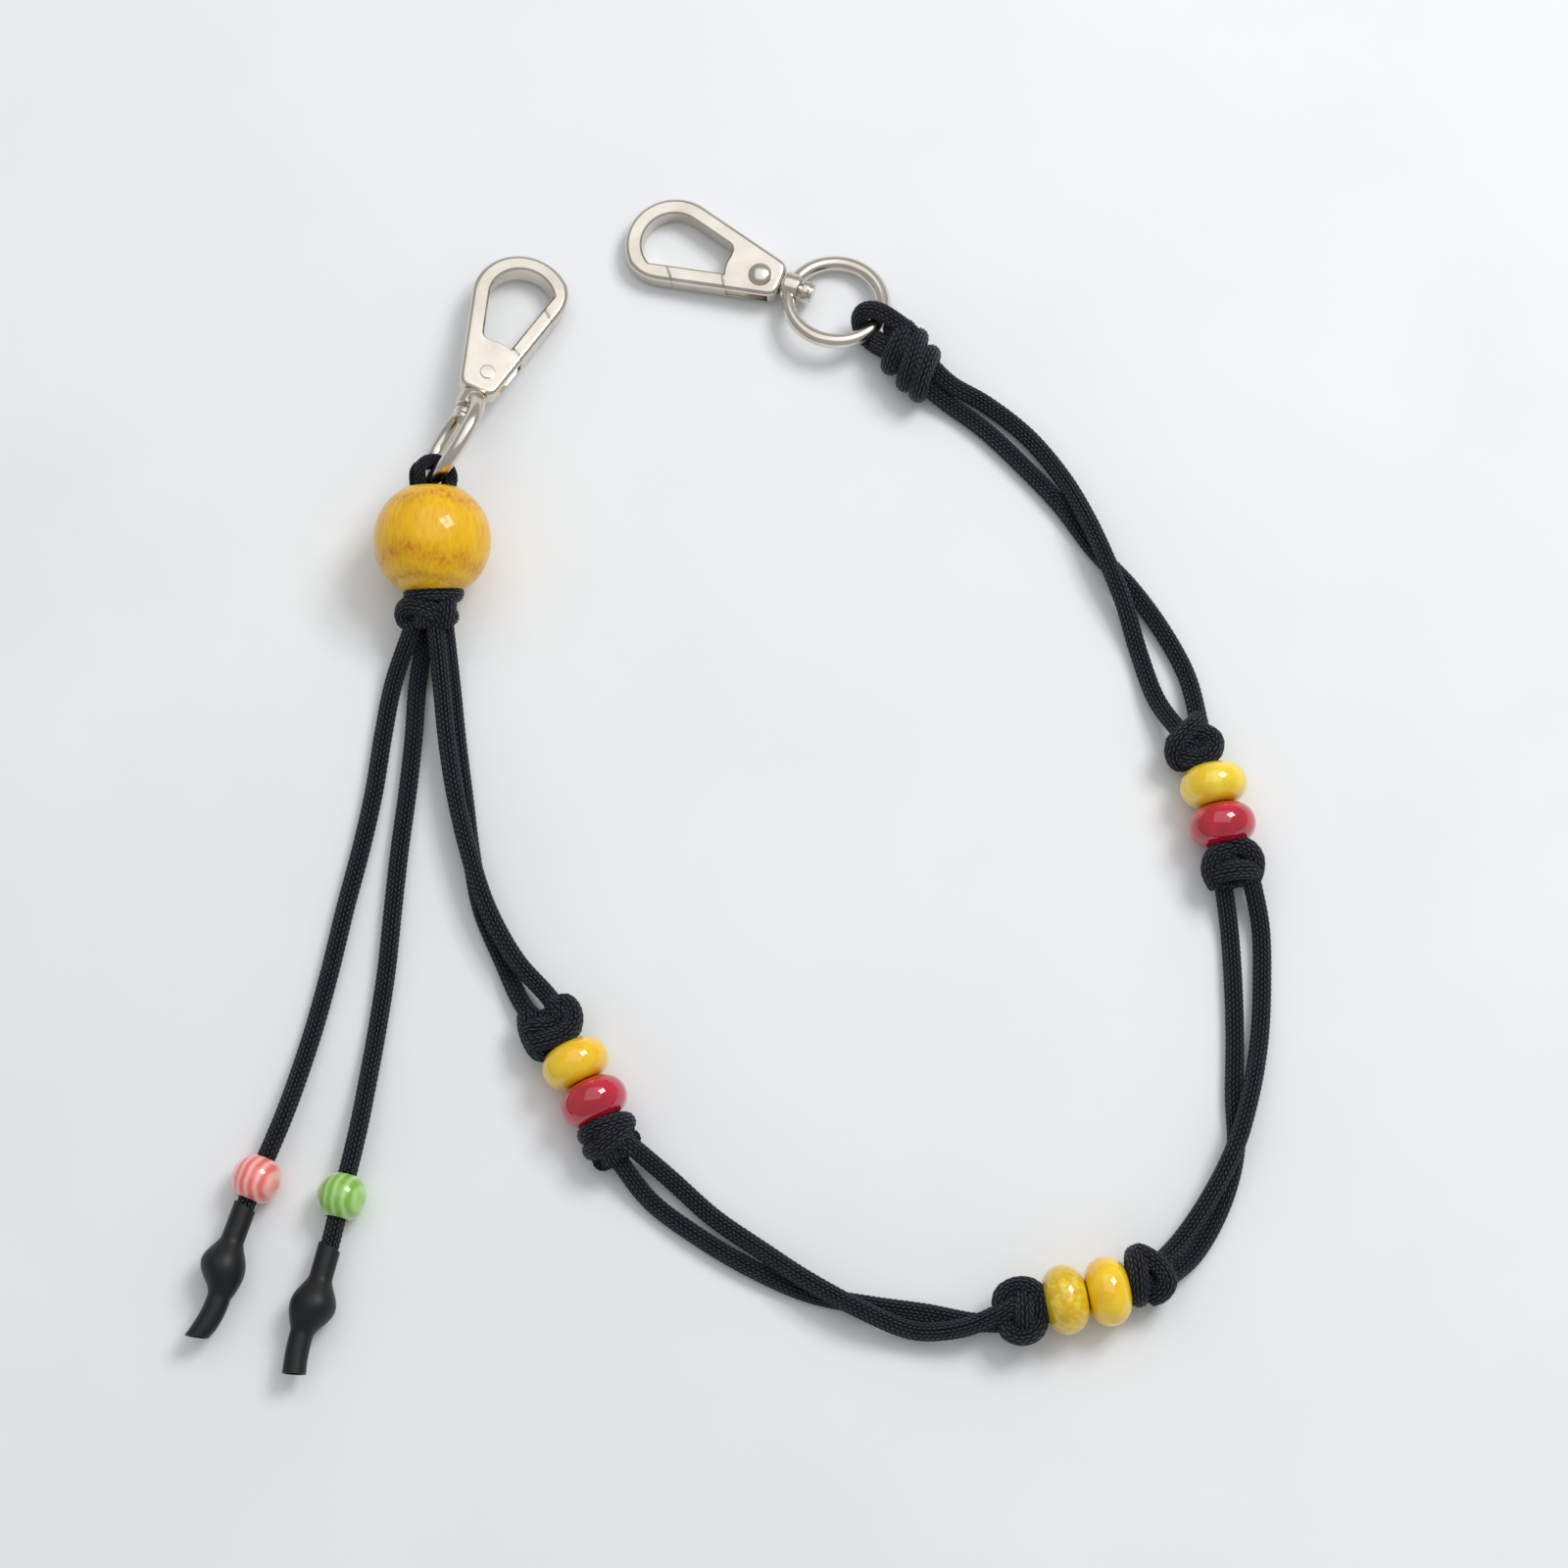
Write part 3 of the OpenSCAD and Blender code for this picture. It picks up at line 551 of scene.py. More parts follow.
# ---- pieces ----
def lay_cord(name):
    """A free strand or a tail. A tail also runs through its bead and sleeve to its stopper knot."""
    route, nodes = list(ROUTES[name]), [name]
    if name.startswith("tail_cord_"):
        side = name.removeprefix("tail_cord_")
        bead, bead_heading, sleeve, heading, length = TAILS[side]
        lead_in, short_of_knot = 14, 2
        route += [ahead(bead, bead_heading, -lead_in), bead, sleeve,
                  ahead(sleeve, heading, STOPPER_SHARE * length - short_of_knot)]
        nodes.append("stopper_" + side)
    path = smooth_path(route)
    piece = corded(name + "_laid", [path], nodes)
    points = [p * MM for p in path]
    length = sum((b - a).length for a, b in zip(points, points[1:]))


def on_ring(side):
    """The place of a hook's ring, which rolls about the swivel."""
    return placed(HOOK_AT[side], (RING_ROLL[side], *HOOK_TURN[side][1:]))


def knot_frames():
    """Where each knot's middle lies, its +X along the cord."""
    frames = {"a": placed((39, 92, 6), (0, 0, -45))}
    for name, pair, side, sideways in (("b", "bc", -1, -2.4), ("c", "bc", 1, 0.5), ("d", "de", -1, -2),
                                       ("e", "de", 1, 0.5), ("g", "gf", -1, -1), ("f", "gf", 1, 0)):
        at, heading = PAIRS[pair]
        p = ahead(at, heading, side * KNOT_STEP) + sideways * (ahead((0, 0, 0), heading + 90, 1))
        frames[name] = placed((p.x, p.y, 6.3), (0, 0, heading))
    frames["h"] = (placed(BALL_AT, (BALL_TILT, 0, 0)) @ Matrix.Translation((0, -KNOT_H_DROP, 0))
                   @ Matrix.Rotation(math.radians(-90), 4, "Z"))
    return frames


# Each strand that shows in a knot, in millimetres with X along the cord and Z up. A tuple is a turn round
# the cord: place, lean, reach sideways, reach up, first and last angle (90 is on top) and shift sideways.
KNOTS = {
    "a": [
        (-3.9, -1.6, 4.2, 3.8, 0, 360, 0),
        (0.3, -2.5, 4.7, 3.9, 0, 360, 0),
        (4.4, -2, 4.1, 3.7, 0, 360, -0.3),
        [(-8.6, 1.5, 0.6), (-7.4, 1.9, 1.2), (-5.6, 1.7, 1.6), (-4, 1, 1.4)],
        [(-8.6, -2, -0.4), (-7.2, -1.9, 0.2), (-5.4, -1.6, 0.8), (-4, -1, 0.6)]],
    "b": [
        [(-5.5, 2.4, 0.5), (-4, 0.6, 2.2), (-2, -2.4, 2.6), (0.3, -4.3, 1.2), (2.4, -3.6, -1), (2, -1, -3)],
        [(-2.5, -1, -1), (-2.2, 2.2, 1.8), (-0.3, 4.2, 2.2), (2.2, 3.6, 2.6), (3.4, 1.2, 2.2),
         (2.6, -1.6, 1.6), (1, -3, -0.5)],
        [(-1, -3, -1), (0, 0, 0.8), (3, 0.4, 0.5), (5, 0, 0)],
        (0, 1.5, 3.6, 3.6, 170, 370, 0)],
    "c": [
        [(2.6, 3.7, -0.2), (1.4, 4.3, 0.6), (-0.6, 4.6, 1.8), (-2.8, 3.6, 2.4), (-4.2, 0.9, 2.2),
         (-3.6, -1.6, 0.6), (-2, -2, -1.5)],
        [(-3.2, 2, -1.5), (-3.4, -0.6, 2.2), (-2.8, -3.4, 2.4), (-0.4, -4.8, 1.4), (1.6, -4.5, 0.4),
         (3, -3.8, -0.4)],
        (1.4, 0.3, 4, 3.6, -40, 220, 0),
        (-2, 0.3, 3.6, 3.6, 180, 360, 0)],
    "d": [
        [(0.6, 4.6, 0), (-1.4, 4.3, 1.6), (-2.9, 2.6, 2.5), (-2.3, -0.2, 2.9), (-0.3, -2.8, 2.6),
         (1.4, -4.4, 0.9), (1.6, -4, -1.5)],
        (2.6, 0.4, 4.3, 3.8, 0, 360, 0),
        [(-4, -2, 0.5), (-3, -1.6, 0.7), (-1.6, -0.8, 0.6), (0, 0, 0)],
        (-0.8, -1.5, 3.5, 3.5, 170, 370, 0)],
    "e": [
        [(-2.2, 3.2, -1), (-3.6, 1.2, 1.8), (-4, -1.6, 2.5), (-2.6, -4, 2.2), (0, -4.9, 1.2),
         (2.8, -4, 0.8), (3.6, -2, 0.4), (2, 0, -1)],
        [(-3.2, -1, -2), (-3, 2.4, 0.8), (-1.6, 4.6, 1.6), (1, 5, 1.4), (3.2, 3.6, 1), (3.4, 1, 0)],
        (-0.4, 0.6, 3.4, 3.2, 0, 360, 0),
        [(0, -1.2, 1.6), (2, -0.8, 1.8), (3.6, -0.2, 1.4), (5, 0.4, 0.6)]],
    "f": [
        (-3, 0.5, 4.2, 3.7, 0, 360, 0),
        [(-0.8, 3.6, 0.6), (-0.6, 2, 2.6), (0, -0.6, 3.2), (0.4, -3.2, 2.4), (-0.2, -4.6, 0), (-1, -4, -2)],
        [(-1, 0.4, 1), (0.6, 1.6, 1.6), (2.2, 2.6, 1.2), (3.4, 3.2, 0.4)],
        [(0, -1.6, 1), (1.4, -1.9, 1.2), (2.6, -2, 0.8), (3.8, -1.9, 0.2)],
        (1.8, -0.8, 3.6, 3.5, 180, 360, 0)],
    "g": [
        [(-3.6, 2.6, 0), (-3, 4.6, 1.4), (-0.6, 5, 2.2), (1.8, 4, 2.8), (3, 1.4, 3.1), (2.6, -1.8, 2.9),
         (1.6, -4.4, 1.6), (0, -4.8, -1)],
        [(-4.6, -3.8, -1.4), (-3.6, -4.2, -0.8), (-2, -4.7, -0.2), (0.8, -5, 0), (3.4, -4.6, 0),
         (4.2, -3, -1)],
        [(-4.2, 1.8, 0.4), (-3.2, 2.4, 1.2), (-1.8, 2.7, 1.6), (-0.4, 1.6, 1.2), (0, -0.6, 1.6),
         (-1, -3, 1.8), (-1.6, -4.6, 0)],
        (1.2, 0.6, 3.7, 3.6, 170, 370, 0)],
    "h": [
        (-3.4, -0.2, 4.4, 3.8, 0, 360, 0.4),
        [(1.6, 1.6, 0.6), (0.8, 0.6, 2.4), (-0.4, -2, 2.8), (-0.6, -4.6, 1.8), (0.4, -5.8, 0.2),
         (2.2, -5.4, -0.6), (2.6, -3, -0.6)],
        [(-2, 3.4, 2), (0, 3.4, 2.2), (1.6, 3.2, 1.8), (3, 2.8, 1)],
        [(-1, -0.8, 1), (0.8, -1.4, 1.5), (2.2, -1.6, 1.4), (3.4, -1.5, 0.8)],
        (0.8, 0.6, 3.8, 3.4, 160, 380, 0)],
}


def tie_knot(name, matrix):
    """All the strands of one knot, as a single piece."""
    paths, closed = [], []
    for number, strand in enumerate(KNOTS[name]):
        if isinstance(strand, list):
            paths.append(smooth_path(strand, 0.4))
            continue
        along, lean, aside, up, start, stop, shift = strand
        whole = stop - start == 360
        angles = [math.radians(start + (stop - start) * i / 48) for i in range(48 if whole else 49)]
        paths.append([Vector((along + lean * math.cos(t), shift + aside * math.cos(t), up * math.sin(t)))
                      for t in angles])
        if whole:
            closed.append(number)
    # the two strands inside, which close the knot's middle
    half, aside = (6.2 if name == "a" else 4.1), 1.6
    for y in (-aside, aside):
        paths.append([Vector((x, y, 0.2 * y)) for x in (-half, -half / 2, 0, half / 2, half)])
    corded("knot_" + name + "_cord", paths, ["knot_" + name], KNOT_CORD, matrix, closed)


def loop_on_ring_a():
    """The bight of cord round ring A's wire, drawn about the wire and then put on the ring."""
    reach = (WIRE + CORD) / 2 + BESIDE
    route = [(8.5, 1.8, 2.2), (4, 0.9 * reach, 1.8)]
    for turn in range(90, 271, 30):
        a = math.radians(turn)
        route.append((reach * math.cos(a), reach * math.sin(a), 1.5 * (180 - turn) / 90))
    route += [(4, -0.9 * reach, -1.8), (8.5, -1.4, -2.2)]
    round_ring = -15
    matrix = (on_ring("a") @ Matrix.Translation((RING_X, 0, 0))
              @ Matrix.Rotation(math.radians(round_ring), 4, "Z"))
    path = smooth_path([(RING_R + p[0], p[2], p[1]) for p in route], 0.5)
    corded("loop_ring_a_cord", [path], ["loop_ring_a"], matrix=matrix)


def loop_on_ring_b(name, level):
    """A loop round ring B, upper (level 1) or lower (-1), with its two legs going down through the ball."""
    turned_ring = on_ring("b")
    on_ball = placed(BALL_AT, (BALL_TILT, 0, 0))
    out, wire, face = [v.normalized() for v in turned_ring.to_3x3().transposed()]
    hold = turned_ring @ Vector((RING_X + RING_R, 0, 0)) / MM
    reach = (WIRE + LEG) / 2 + 3 * BESIDE
    gap = LEG / 2 + RUNNING
    bight = []
    for turn in range(-90, 91, 30):
        a = math.radians(turn)
        bight.append(hold - reach * math.cos(a) * out + reach * math.sin(a) * face + level * gap * wire)
    side = 1 if bight[0].x < bight[-1].x else -1
    lean = gap * wire.x
    # a leg from the ball's mouth down: aside, along the bore, and how much it still leans with the wire
    leg = [(reach - 2.6 * BESIDE, BALL_MOUTH - 0.4, 1), (0.7 * reach, BALL_MOUTH - 4.5, 0.5),
           (gap, 1.5, 0), (gap, 2 - KNOT_H_DROP, 0)]
    legs = [on_ball @ Vector((side * x + level * lean * s, y, level * gap)) / MM for x, y, s in leg]
    back = [on_ball @ Vector((-side * x + level * lean * s, y, level * gap)) / MM for x, y, s in leg[::-1]]
    path = smooth_path(back + bight + legs, 0.5)
    corded(name + "_cord", [path], [name], LEG)


def core_of(pair):
    """The two squeezed strands inside a pair of beads, one above the other."""
    at, heading = PAIRS[pair]
    reach, off = KNOT_STEP + HALF_GAP, (SQUEEZED - 0.1) / 2
    paths = []
    for up in (Vector((0, 0, -off)), Vector((0, 0, off))):
        start, end = ahead(at, heading, -reach) + up, ahead(at, heading, reach) + up
        paths.append([start.lerp(end, i / 30) for i in range(31)])
    corded("core_" + pair + "_cord", paths, ["core_" + pair], SQUEEZED)


# ---- the hook's outlines, flat, with the eye's middle at the origin and the swivel along X ----
def gate_direction():
    """How far the hook's gate side and back side each face away from +X, in degrees."""
    far = math.hypot(TAIL_X, TAIL_W / 2)
    lean = math.degrees(math.atan2(TAIL_W / 2, TAIL_X))
    return (lean + math.degrees(math.acos(GATE_OUT_R / far)), lean + math.degrees(math.acos(EYE_R / far)))


def hook_outline():
    """The cast hook's edge: a round eye, two straight sides and a square end at the swivel."""
    gate, back = gate_direction()
    meet = 360 - gate - math.degrees(math.acos(GATE_OUT_R / EYE_R))
    line = arc((0, 0), EYE_R, back, meet - EYE_BLEND, 66)
    # the eye runs into the gate's side on a soft curve
    corner = EYE_R * toward(meet)
    beyond = corner + EYE_RUN_OUT * toward(90 - gate)
    line += [line[-1] * (1 - t) ** 2 + corner * 2 * t * (1 - t) + beyond * t ** 2
             for t in [i / 12 for i in range(1, 13)]]
    tail = [line[-1], (TAIL_X, -TAIL_W / 2), (TAIL_X, TAIL_W / 2), line[0]]
    return line + softened(tail, TAIL_CORNER, closed=False)[1:-1]


def on_gate_line(distance, along):
    """The point on a line beside the gate, at a distance from the eye's middle."""
    gate = gate_direction()[0]
    return distance * toward(-gate) + along * toward(90 - gate)


def meets_circle(distance, radius):
    """Where a line beside the gate first meets a circle about the pivot."""
    run = toward(90 - gate_direction()[0])
    start = on_gate_line(distance, 0) - PIVOT
    b = start.dot(run)
    return on_gate_line(distance, -b - math.sqrt(b * b - start.dot(start) + radius * radius))


def turn_about_pivot(point):
    """The direction of a point from the gate's pivot, in degrees."""
    return math.degrees(math.atan2(point.y - PIVOT.y, point.x - PIVOT.x)) % 360


def opening_outline():
    """The hole through the eye, closed at the swivel's end by the arc that the gate turns in."""
    gate, back = gate_direction()
    meet = 360 - gate - math.degrees(math.acos(GATE_IN_R / EYE_IN_R))
    line = arc((0, 0), EYE_IN_R, back, meet, 56)
    step = 2 * RUNNING
    edge_x = PIVOT.x - FRONT_R + step
    low = turn_about_pivot(meets_circle(GATE_IN_R, FRONT_R))
    front = arc(PIVOT, FRONT_R, low, 180 - math.degrees(math.acos(1 - step / FRONT_R)), 20)
    run = toward(back - 90)
    high = line[0] + run * ((edge_x - line[0].x) / run.x)
    return line + front + softened([front[-1], high, line[0]], 1.6, closed=False)[1:-1]


def gate_outline(clear):
    """A cutter round all that moves with the gate, less a clearance, which runs on past the hook's edge."""
    nose = on_gate_line(GATE_IN_R, 0) + Vector((-0.8 - clear, 0))
    down = toward(27 - gate_direction()[0])
    # the nose's slanted line, where it crosses the gate's inner line
    inner, run = on_gate_line(GATE_IN_R - clear, 0), on_gate_line(0, 1)
    start = nose + down * ((inner - nose).cross(run) / down.cross(run))
    radius = FRONT_R + BESIDE - clear
    bend = meets_circle(GATE_IN_R - clear, radius)
    return ([start, bend] + arc(PIVOT, radius, turn_about_pivot(bend), 268, 24)[1:]
            + [Vector((PIVOT.x, -24)), nose + down * 22])


def edge_profile(half, radius, steps=5):
    """Heights and insets of a plate with rounded edges."""
    low = [(-half + radius * (1 - math.cos(a)), radius * (1 - math.sin(a)))
           for a in [math.pi / 2 * i / steps for i in range(steps + 1)]]
    return low + [(-z, inset) for z, inset in low[::-1]]


def flared(beyond, deep, inset):
    """Heights and insets of a cutter that goes beyond both faces of the hook and changes width near them."""
    half = HOOK_T / 2
    return [(-half - beyond, inset), (-half + deep, 0), (half - deep, 0), (half + beyond, inset)]


def hook_plate(name):
    """The whole hook as one plate with rounded edges and its opening."""
    piece = solid(name, plate(hook_outline(), edge_profile(HOOK_T / 2, WORN_EDGE)))
    carve(piece, plate(opening_outline(), flared(0.2, 0.4, -0.6)))
    return piece


def make_hook(side):
    """The cast body with its slot, and the gate with the thin end that turns in it."""
    matrix = placed(HOOK_AT[side], HOOK_TURN[side])
    body = hook_plate("hook_body_" + side + "_cast")
    # worn edges open the joint a little at both faces
    carve(body, plate(gate_outline(RUNNING), flared(0.1, 0.4, -0.5)))
    slot = [Vector(p) for p in ((9.6, -21), (SLOT_END, -21), (SLOT_END, 2.5), (17.6, 2.5), (9.6, 1.4))]
    carve(body, plate(slot, [(-SLOT_H / 2, 0), (SLOT_H / 2, 0)]))
    gate = hook_plate("gate_" + side + "_bar")
    carve(gate, plate(gate_outline(0.02), flared(0.1, 0.3, 0.4)), "INTERSECT")
    reach = SLOT_END - PIVOT.x - 2 * RUNNING
    skin = GATE_OUT_R - 0.4
    thin = [meets_circle(GATE_IN_R, FRONT_R + BESIDE + 1), *arc(PIVOT, reach, 100, -60, 16),
            meets_circle(skin, FRONT_R - 3), meets_circle(skin, FRONT_R + BESIDE + 1)]
    carve(gate, plate(thin[::-1], [(-GATE_TAIL_T / 2, 0), (GATE_TAIL_T / 2, 0)]), "UNION")
    for piece, node, rider in ((body, "hook_body_", "hook_"), (gate, "gate_", "gate_")):
        piece.data.transform(matrix)
        finished(piece, "Nickel plate", rider + side, node + side, sharp=28)
        piece.modifiers.new("normals", "WEIGHTED_NORMAL").keep_sharp = True


def make_rivet(side):
    """The gate's pin, with its domed head on top and its small formed end below."""
    half, dome_h, dome_r, pin_r, foot_h, foot_r = HOOK_T / 2, 1.3, 2.6, 1.3, 0.35, 1.62
    dome = [(half + dome_h * math.cos(math.radians(a)), dome_r * math.sin(math.radians(a)))
            for a in range(0, 91, 10)]
    foot = softened([(-half, foot_r), (-half - foot_h, foot_r), (-half - foot_h, 0)], 0.3, closed=False)
    profile = dome + [(half, dome_r), (half, pin_r), (-half, pin_r)] + foot[:-1] + [(-half - foot_h, 0)]
    shape = moved(about_z(turned(profile)), PIVOT.x, PIVOT.y)
    piece = solid("gate_rivet_" + side + "_head", shape, placed(HOOK_AT[side], HOOK_TURN[side]))
    finished(piece, "Nickel plate", "hook_" + side, "gate_rivet_" + side)


def make_post(side):
    """The swivel post, with a round head whose edge is eased."""
    play = 0.8
    head_x = TAIL_X + BESIDE + BOSS_T + play
    post_r, head_r, end_x = POST_D / 2, HEAD_D / 2, head_x + HEAD_H
    line = [(SLOT_END, post_r), (head_x, post_r), (head_x, head_r), (head_x + 1.3, head_r),
            (head_x + 1.35, head_r - 0.45), (end_x, head_r - 0.5), (end_x, 0)]
    profile = [(SLOT_END, 0)] + softened(line, 0.22, closed=False)[:-1] + [(end_x, 0)]
    shape = turned(profile, sides=64)
    piece = solid("swivel_post_" + side + "_pin", shape, placed(HOOK_AT[side], HOOK_TURN[side]))
    finished(piece, "Nickel plate", "hook_" + side, "swivel_post_" + side)


def make_ring(side):
    """A round wire ring with the bored boss that the post turns in."""
    wire = turned(arc((0, RING_R), WIRE / 2, 0, 345, 23), closed=True, sides=144)
    piece = solid("swivel_ring_" + side + "_wire", moved(about_z(wire), RING_X))
    start, end = TAIL_X + BESIDE, TAIL_X + BESIDE + BOSS_T
    collar = [(start, 0.02), (start, BOSS_D / 2), (end, BOSS_D / 2), (end, 0.02)]
    collar = softened(collar, 0.7, closed=False)
    carve(piece, turned([(start, 0)] + collar[1:-1] + [(end, 0)], sides=64), "UNION")
    bore, before, after = POST_D / 2 + RUNNING, TAIL_X - 1, TAIL_X + 6
    carve(piece, turned([(before, 0), (before, bore), (after, bore), (after, 0)], sides=48))
    piece.data.transform(on_ring(side))
    finished(piece, "Nickel plate", "ring_" + side, "swivel_ring_" + side)


# ---- beads, ball and sleeves ----
def bored(radius, bore, ease, rim, steps, middle=0):
    """A round bead's half outline: its shell, then at both ends the rim's steps (in from the end, out from
    the bore). The shell's own middle may lie off the axis."""
    start = math.degrees(math.asin((bore + ease - middle) / radius))
    end = radius * math.cos(math.radians(start))
    inner = [(end - inwards, bore + outwards) for inwards, outwards in rim]
    return (arc((0, middle), radius, 180 - start, start, steps)
            + [Vector(p) for p in inner] + [Vector((-x, r)) for x, r in inner[::-1]])


def glass_bead(name, pair, side, finish):
    at, heading = PAIRS[pair]
    rim = [(0.12, 0.08), (0.47, 0)]
    profile = bored(BEAD_L / 2, BEAD_HOLE / 2, 0.35, rim, 40, (BEAD_D - BEAD_L) / 2)
    matrix = placed(ahead(at, heading, side * HALF_PAIR), (0, 0, heading))
    piece = solid(name + "_glass", turned(profile, closed=True), matrix)
    finished(piece, finish, name, name, sharp=50)


def tail_bead(side):
    at, heading = TAILS[side][:2]
    profile = bored(TAIL_BEAD_D / 2, TAIL_HOLE / 2, 0.25, [(0.3, 0)], 44)
    matrix = placed(at, (0, 0, heading))
    piece = solid("tail_bead_" + side + "_pearl", turned(profile, closed=True), matrix)
    finished(piece, "Pearly acrylic, " + side, "tail_bead_" + side, "tail_bead_" + side, sharp=60)


def wooden_ball():
    profile = bored(BALL_D / 2, BALL_HOLE / 2, 0.35, [(0.1, 0.1), (0.5, 0)], 64)
    matrix = placed(BALL_AT, (BALL_TILT, 0, 0)) @ Matrix.Rotation(math.radians(90), 4, "Z")
    piece = solid("wooden_ball_turned", turned(profile, closed=True, sides=128), matrix)
    finished(piece, "Lacquered wood", "ball", "wooden_ball", sharp=60)


def shrink_sleeve(side):
    """A sleeve that swells over its stopper knot, with a bent free end and slanting cuts."""
    at, heading, length = TAILS[side][2:]
    tube, swell, middle = SLEEVE_D / 2, BULGE_D / 2, STOPPER_SHARE * length
    sway = 1.5 if side == "left" else -0.7
    bend_from, snip = 0.42, 3
    skin = []
    for i in range(81):
        x = length * i / 80
        # the tube eases over the knot in a smooth bell
        away = min(abs(x - middle) / (1.25 * swell), 1)
        skin.append(Vector((x, tube + (swell - tube) * (0.5 + 0.5 * math.cos(math.pi * away)) ** 0.7)))
    inside = [Vector((x, radius - SLEEVE_WALL)) for x, radius in skin[::-1]]
    piece = solid("sleeve_" + side + "_tube", turned(skin + inside, closed=True))
    for vertex in piece.data.vertices:
        x, y, z = vertex.co
        # the free end has taken a bend
        share = max(0, (x / length - bend_from) / (1 - bend_from))
        vertex.co.y += sway * math.sin(math.pi * share) * min(1, 3 * share)
        # both ends were snipped at a slant
        if x < snip:
            vertex.co.x = x + 0.25 * y * (snip - x) / snip
        if x > length - snip:
            vertex.co.x = x - 0.2 * (y + tube) * (x - length + snip) / snip
    piece.data.transform(placed(at, (0, 0, heading)))
    finished(piece, "Heat-shrink tube", "strap", "sleeve_" + side, sharp=50)


# ---- the add-on ----
def tint(name, colour, description):
    """A colour setting, from its sRGB hex value."""
    return bpy.props.FloatVectorProperty(name=name, subtype="COLOR", size=4, min=0, max=1,
                                         default=linear(colour), description=description)


class StrapSizes(bpy.types.PropertyGroup):
    braid_pitch: bpy.props.FloatProperty(
        name="Braid pitch", default=1.15 * MM, min=0.5 * MM, max=3 * MM, precision=5, unit="LENGTH",
        description="Distance between the dashes of the braid, along the cord")
    braid_relief: bpy.props.FloatProperty(
        name="Braid relief", default=0.2 * MM, min=0, max=0.4 * MM, precision=5, unit="LENGTH",
        description="Height of the braid's strands above the valleys between them")
    floor_size: bpy.props.FloatProperty(
        name="Floor size", default=6, min=1, unit="LENGTH", description="Width of the paper floor")


class StrapColours(bpy.types.PropertyGroup):
    # painted highlight: the blue-grey colour painted onto the braid's highest strands
    cord: tint("Cord", "#3a4452", "Shine on the highest strands of the black braid")
    wood: tint("Wood", "#ecb40c", "Main tone of the lacquered ball")
    yellow_glass: tint("Yellow glass", "#f6da40", "Brighter tone of the milky yellow bead")
    red_glass: tint("Red glass", "#c81634", "Brighter tone of the red beads")
    coral: tint("Coral bead", "#f59088", "Middle tone of the left tail's bead")
    green: tint("Green bead", "#8ac658", "Middle tone of the right tail's bead")


def lamp(name, size, watts, at, turn):
    """A square area lamp."""
    light = bpy.data.lights.new(name, "AREA")
    light.shape, light.size, light.energy = "SQUARE", size, watts
    holder = linked(name, light)
    holder.location, holder.rotation_euler = at, turn.to_euler()


class STRAP_OT_stage(bpy.types.Operator):
    """Sets the camera, the paper floor and the window light"""
    bl_idname = "strap.stage"
    bl_label = "Stage"

    def execute(self, context):
        scene = context.scene
        camera = linked("camera", bpy.data.cameras.new("camera"))
        camera.location = (0.0115, -0.21632, 0.80172)
        camera.rotation_euler = (math.radians(15), 0, 0)
        camera.data.angle = math.radians(22.6)
        camera.data.clip_end = 50
        scene.camera = camera
        scene.view_settings.view_transform = "Standard"
        half = scene.strap_sizes.floor_size / 2
        corners = [(-half, -half, 0), (half, -half, 0), (half, half, 0), (-half, half, 0)]
        floor = solid("floor", (corners, [(0, 1, 2, 3)]))
        floor.data.materials.append(bpy.data.materials["Studio paper"])
        scene.world = bpy.data.worlds.new("studio")
        scene.world.use_nodes = True
        tree = scene.world.node_tree
        feed(tree, tree.nodes["Background"], {"Color": linear("#f4f6f8"), "Strength": 0.45})
        # four panes of a window, up and to the right
        window = Vector((0.55, 0.45, 0.95))
        look = (-window).to_track_quat("-Z", "Y")
        apart = 0.115
        for number, (x, y) in enumerate(((-1, -1), (1, -1), (-1, 1), (1, 1))):
            lamp("pane_%d" % number, 0.2, 1.55, window + look @ Vector((apart * x, apart * y, 0)), look)
        # a wide panel overhead, which the flat metal faces mirror
        overhead = Vector((0.05, 0.4, 1.35))
        lamp("panel", 1.7, 7.3, overhead, (-overhead).to_track_quat("-Z", "Y"))
        return {"FINISHED"}


class STRAP_OT_cords(bpy.types.Operator):
    """Lays the eight free strands and the two tails"""
    bl_idname = "strap.cords"
    bl_label = "Cords"

    def execute(self, context):
        for name in ROUTES:
            lay_cord(name)
        return {"FINISHED"}


class STRAP_OT_knots(bpy.types.Operator):
    """Ties the knots, the loops round the rings and the cord inside the beads"""
    bl_idname = "strap.knots"
    bl_label = "Knots and loops"

    def execute(self, context):
        for name, matrix in knot_frames().items():
            tie_knot(name, matrix)
        loop_on_ring_a()
        loop_on_ring_b("loop_ring_b_upper", 1)
        loop_on_ring_b("loop_ring_b_lower", -1)
        for pair in PAIRS:
            core_of(pair)
        return {"FINISHED"}


class STRAP_OT_hooks(bpy.types.Operator):
    """Casts the two snap hooks with their gates, rivets, posts and rings"""
    bl_idname = "strap.hooks"
    bl_label = "Snap hooks"

    def execute(self, context):
        for side in "ab":
            make_hook(side)
            make_rivet(side)
            make_post(side)
            make_ring(side)
            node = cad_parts["gate_spring_" + side]
            node.data.materials.clear()
            node.data.materials.append(bpy.data.materials["Nickel plate"])
        return {"FINISHED"}


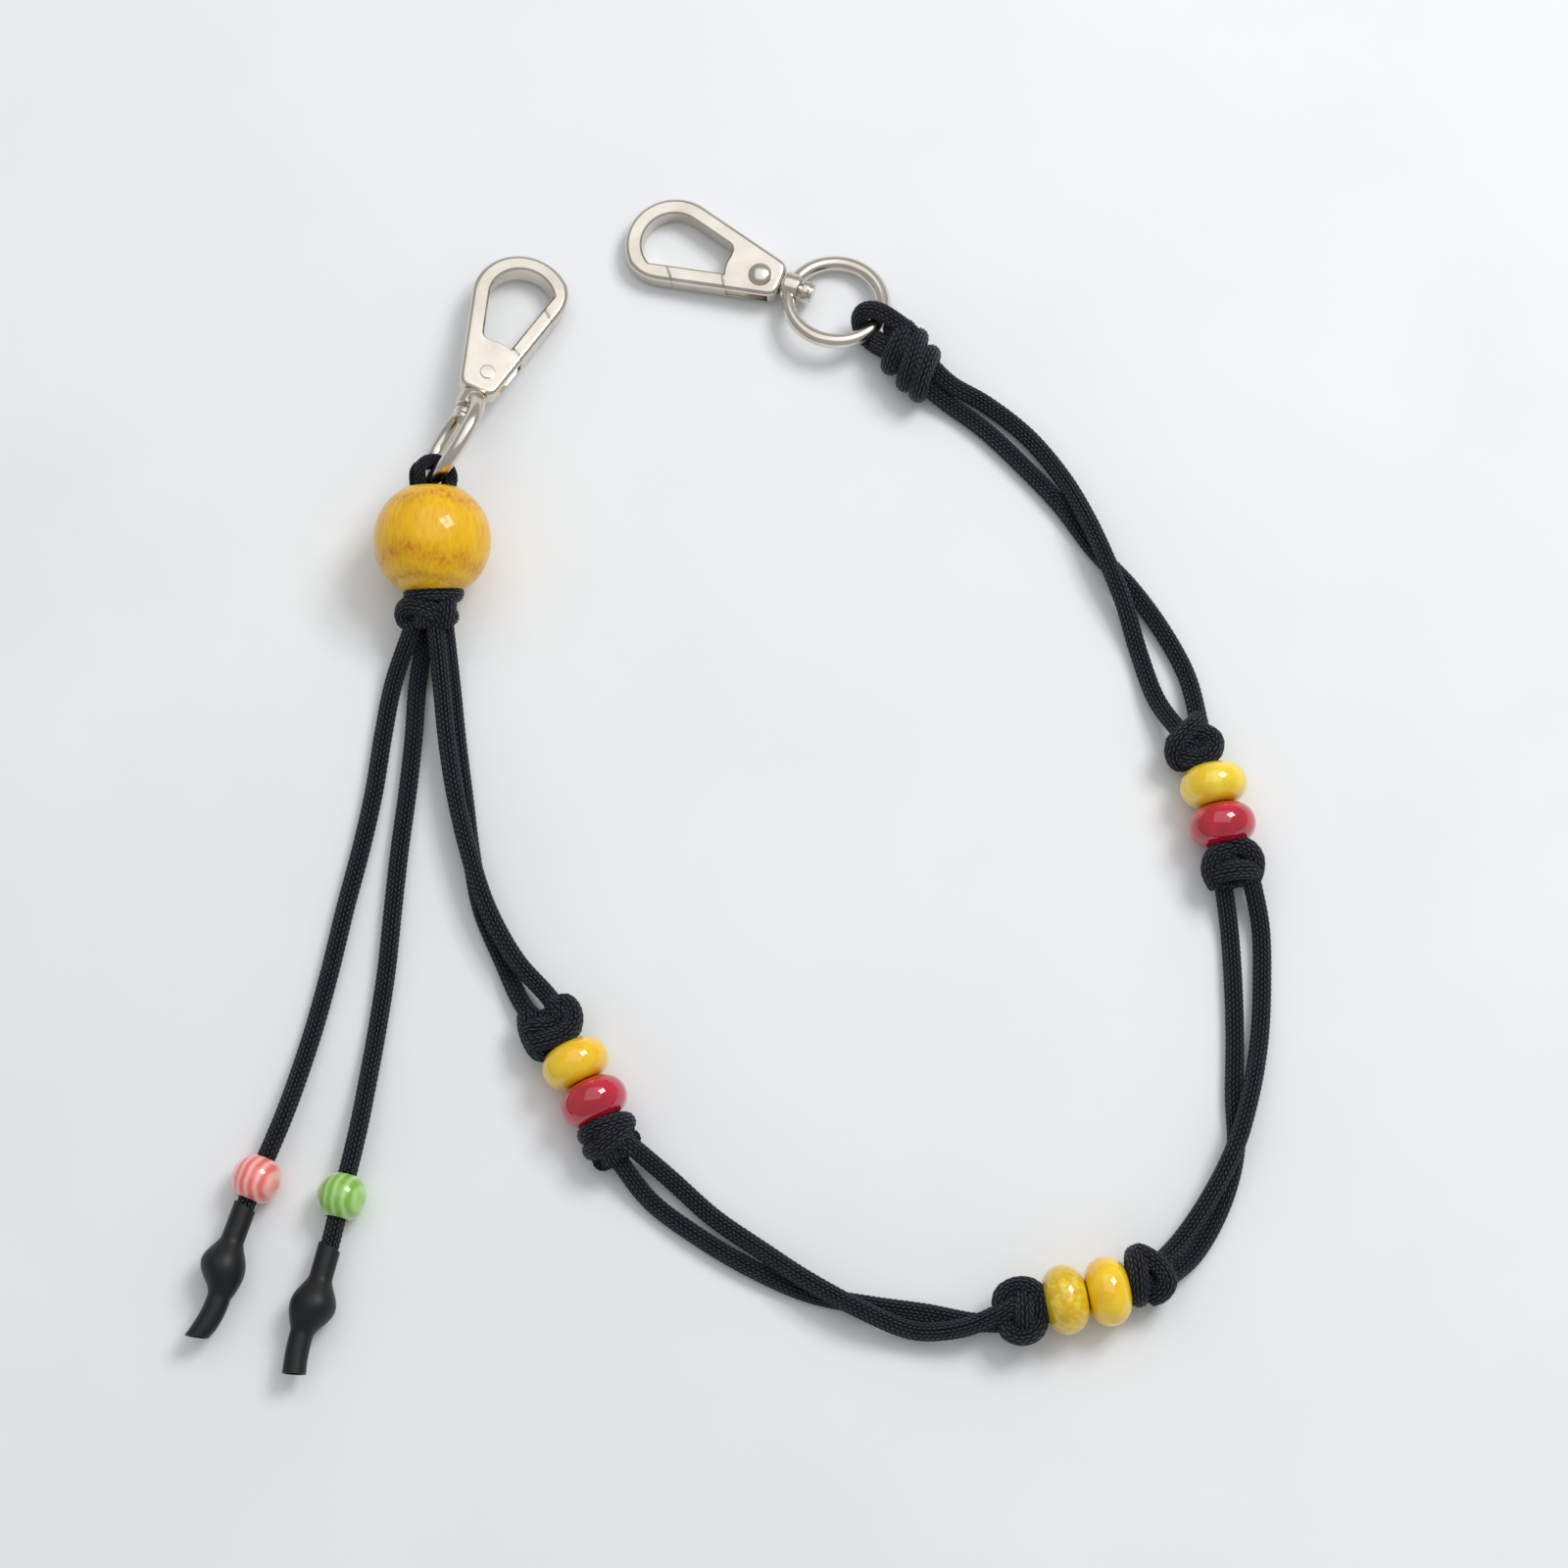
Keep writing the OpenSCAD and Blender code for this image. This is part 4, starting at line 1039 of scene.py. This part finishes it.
class STRAP_OT_beads(bpy.types.Operator):
    """Makes the glass beads, the tail beads and the wooden ball"""
    bl_idname = "strap.beads"
    bl_label = "Beads and ball"

    def execute(self, context):
        glass_bead("bead_yellow_bc", "bc", -1, "Yellow glass, milky")
        glass_bead("bead_red_bc", "bc", 1, "Red glass")
        glass_bead("bead_yellow_de", "de", -1, "Yellow glass, opaque")
        glass_bead("bead_clear_de", "de", 1, "Yellow glass, clear")
        glass_bead("bead_yellow_gf", "gf", -1, "Yellow glass, opaque")
        glass_bead("bead_red_gf", "gf", 1, "Red glass")
        for side in TAILS:
            tail_bead(side)
        wooden_ball()
        return {"FINISHED"}


class STRAP_OT_sleeves(bpy.types.Operator):
    """Shrinks a sleeve over each tail's stopper knot"""
    bl_idname = "strap.sleeves"
    bl_label = "Heat-shrink sleeves"

    def execute(self, context):
        for side in TAILS:
            shrink_sleeve(side)
        return {"FINISHED"}


STEPS = (STRAP_OT_stage, STRAP_OT_cords, STRAP_OT_knots, STRAP_OT_hooks, STRAP_OT_beads, STRAP_OT_sleeves)


class STRAP_PT_panel(bpy.types.Panel):
    """Lists the strap's sizes, colours and pieces"""
    bl_idname = "STRAP_PT_panel"
    bl_label = "Beaded strap"
    bl_space_type = "VIEW_3D"
    bl_region_type = "UI"
    bl_category = "Strap"

    def draw(self, context):
        for group in (context.scene.strap_sizes, context.scene.strap_colours):
            for name in group.__annotations__:
                self.layout.prop(group, name)
        for step in STEPS:
            self.layout.operator(step.bl_idname)


CLASSES = (StrapSizes, StrapColours, *STEPS, STRAP_PT_panel)


def register():
    for cls in CLASSES:
        bpy.utils.register_class(cls)
    bpy.types.Scene.strap_sizes = bpy.props.PointerProperty(type=StrapSizes)
    bpy.types.Scene.strap_colours = bpy.props.PointerProperty(type=StrapColours)


def unregister():
    del bpy.types.Scene.strap_colours
    del bpy.types.Scene.strap_sizes
    for cls in reversed(CLASSES):
        bpy.utils.unregister_class(cls)


def main():
    register()
    all_materials()
    for step in STEPS:
        group, name = step.bl_idname.split(".")
        getattr(getattr(bpy.ops, group), name)()


if __name__ == "__main__":
    main()
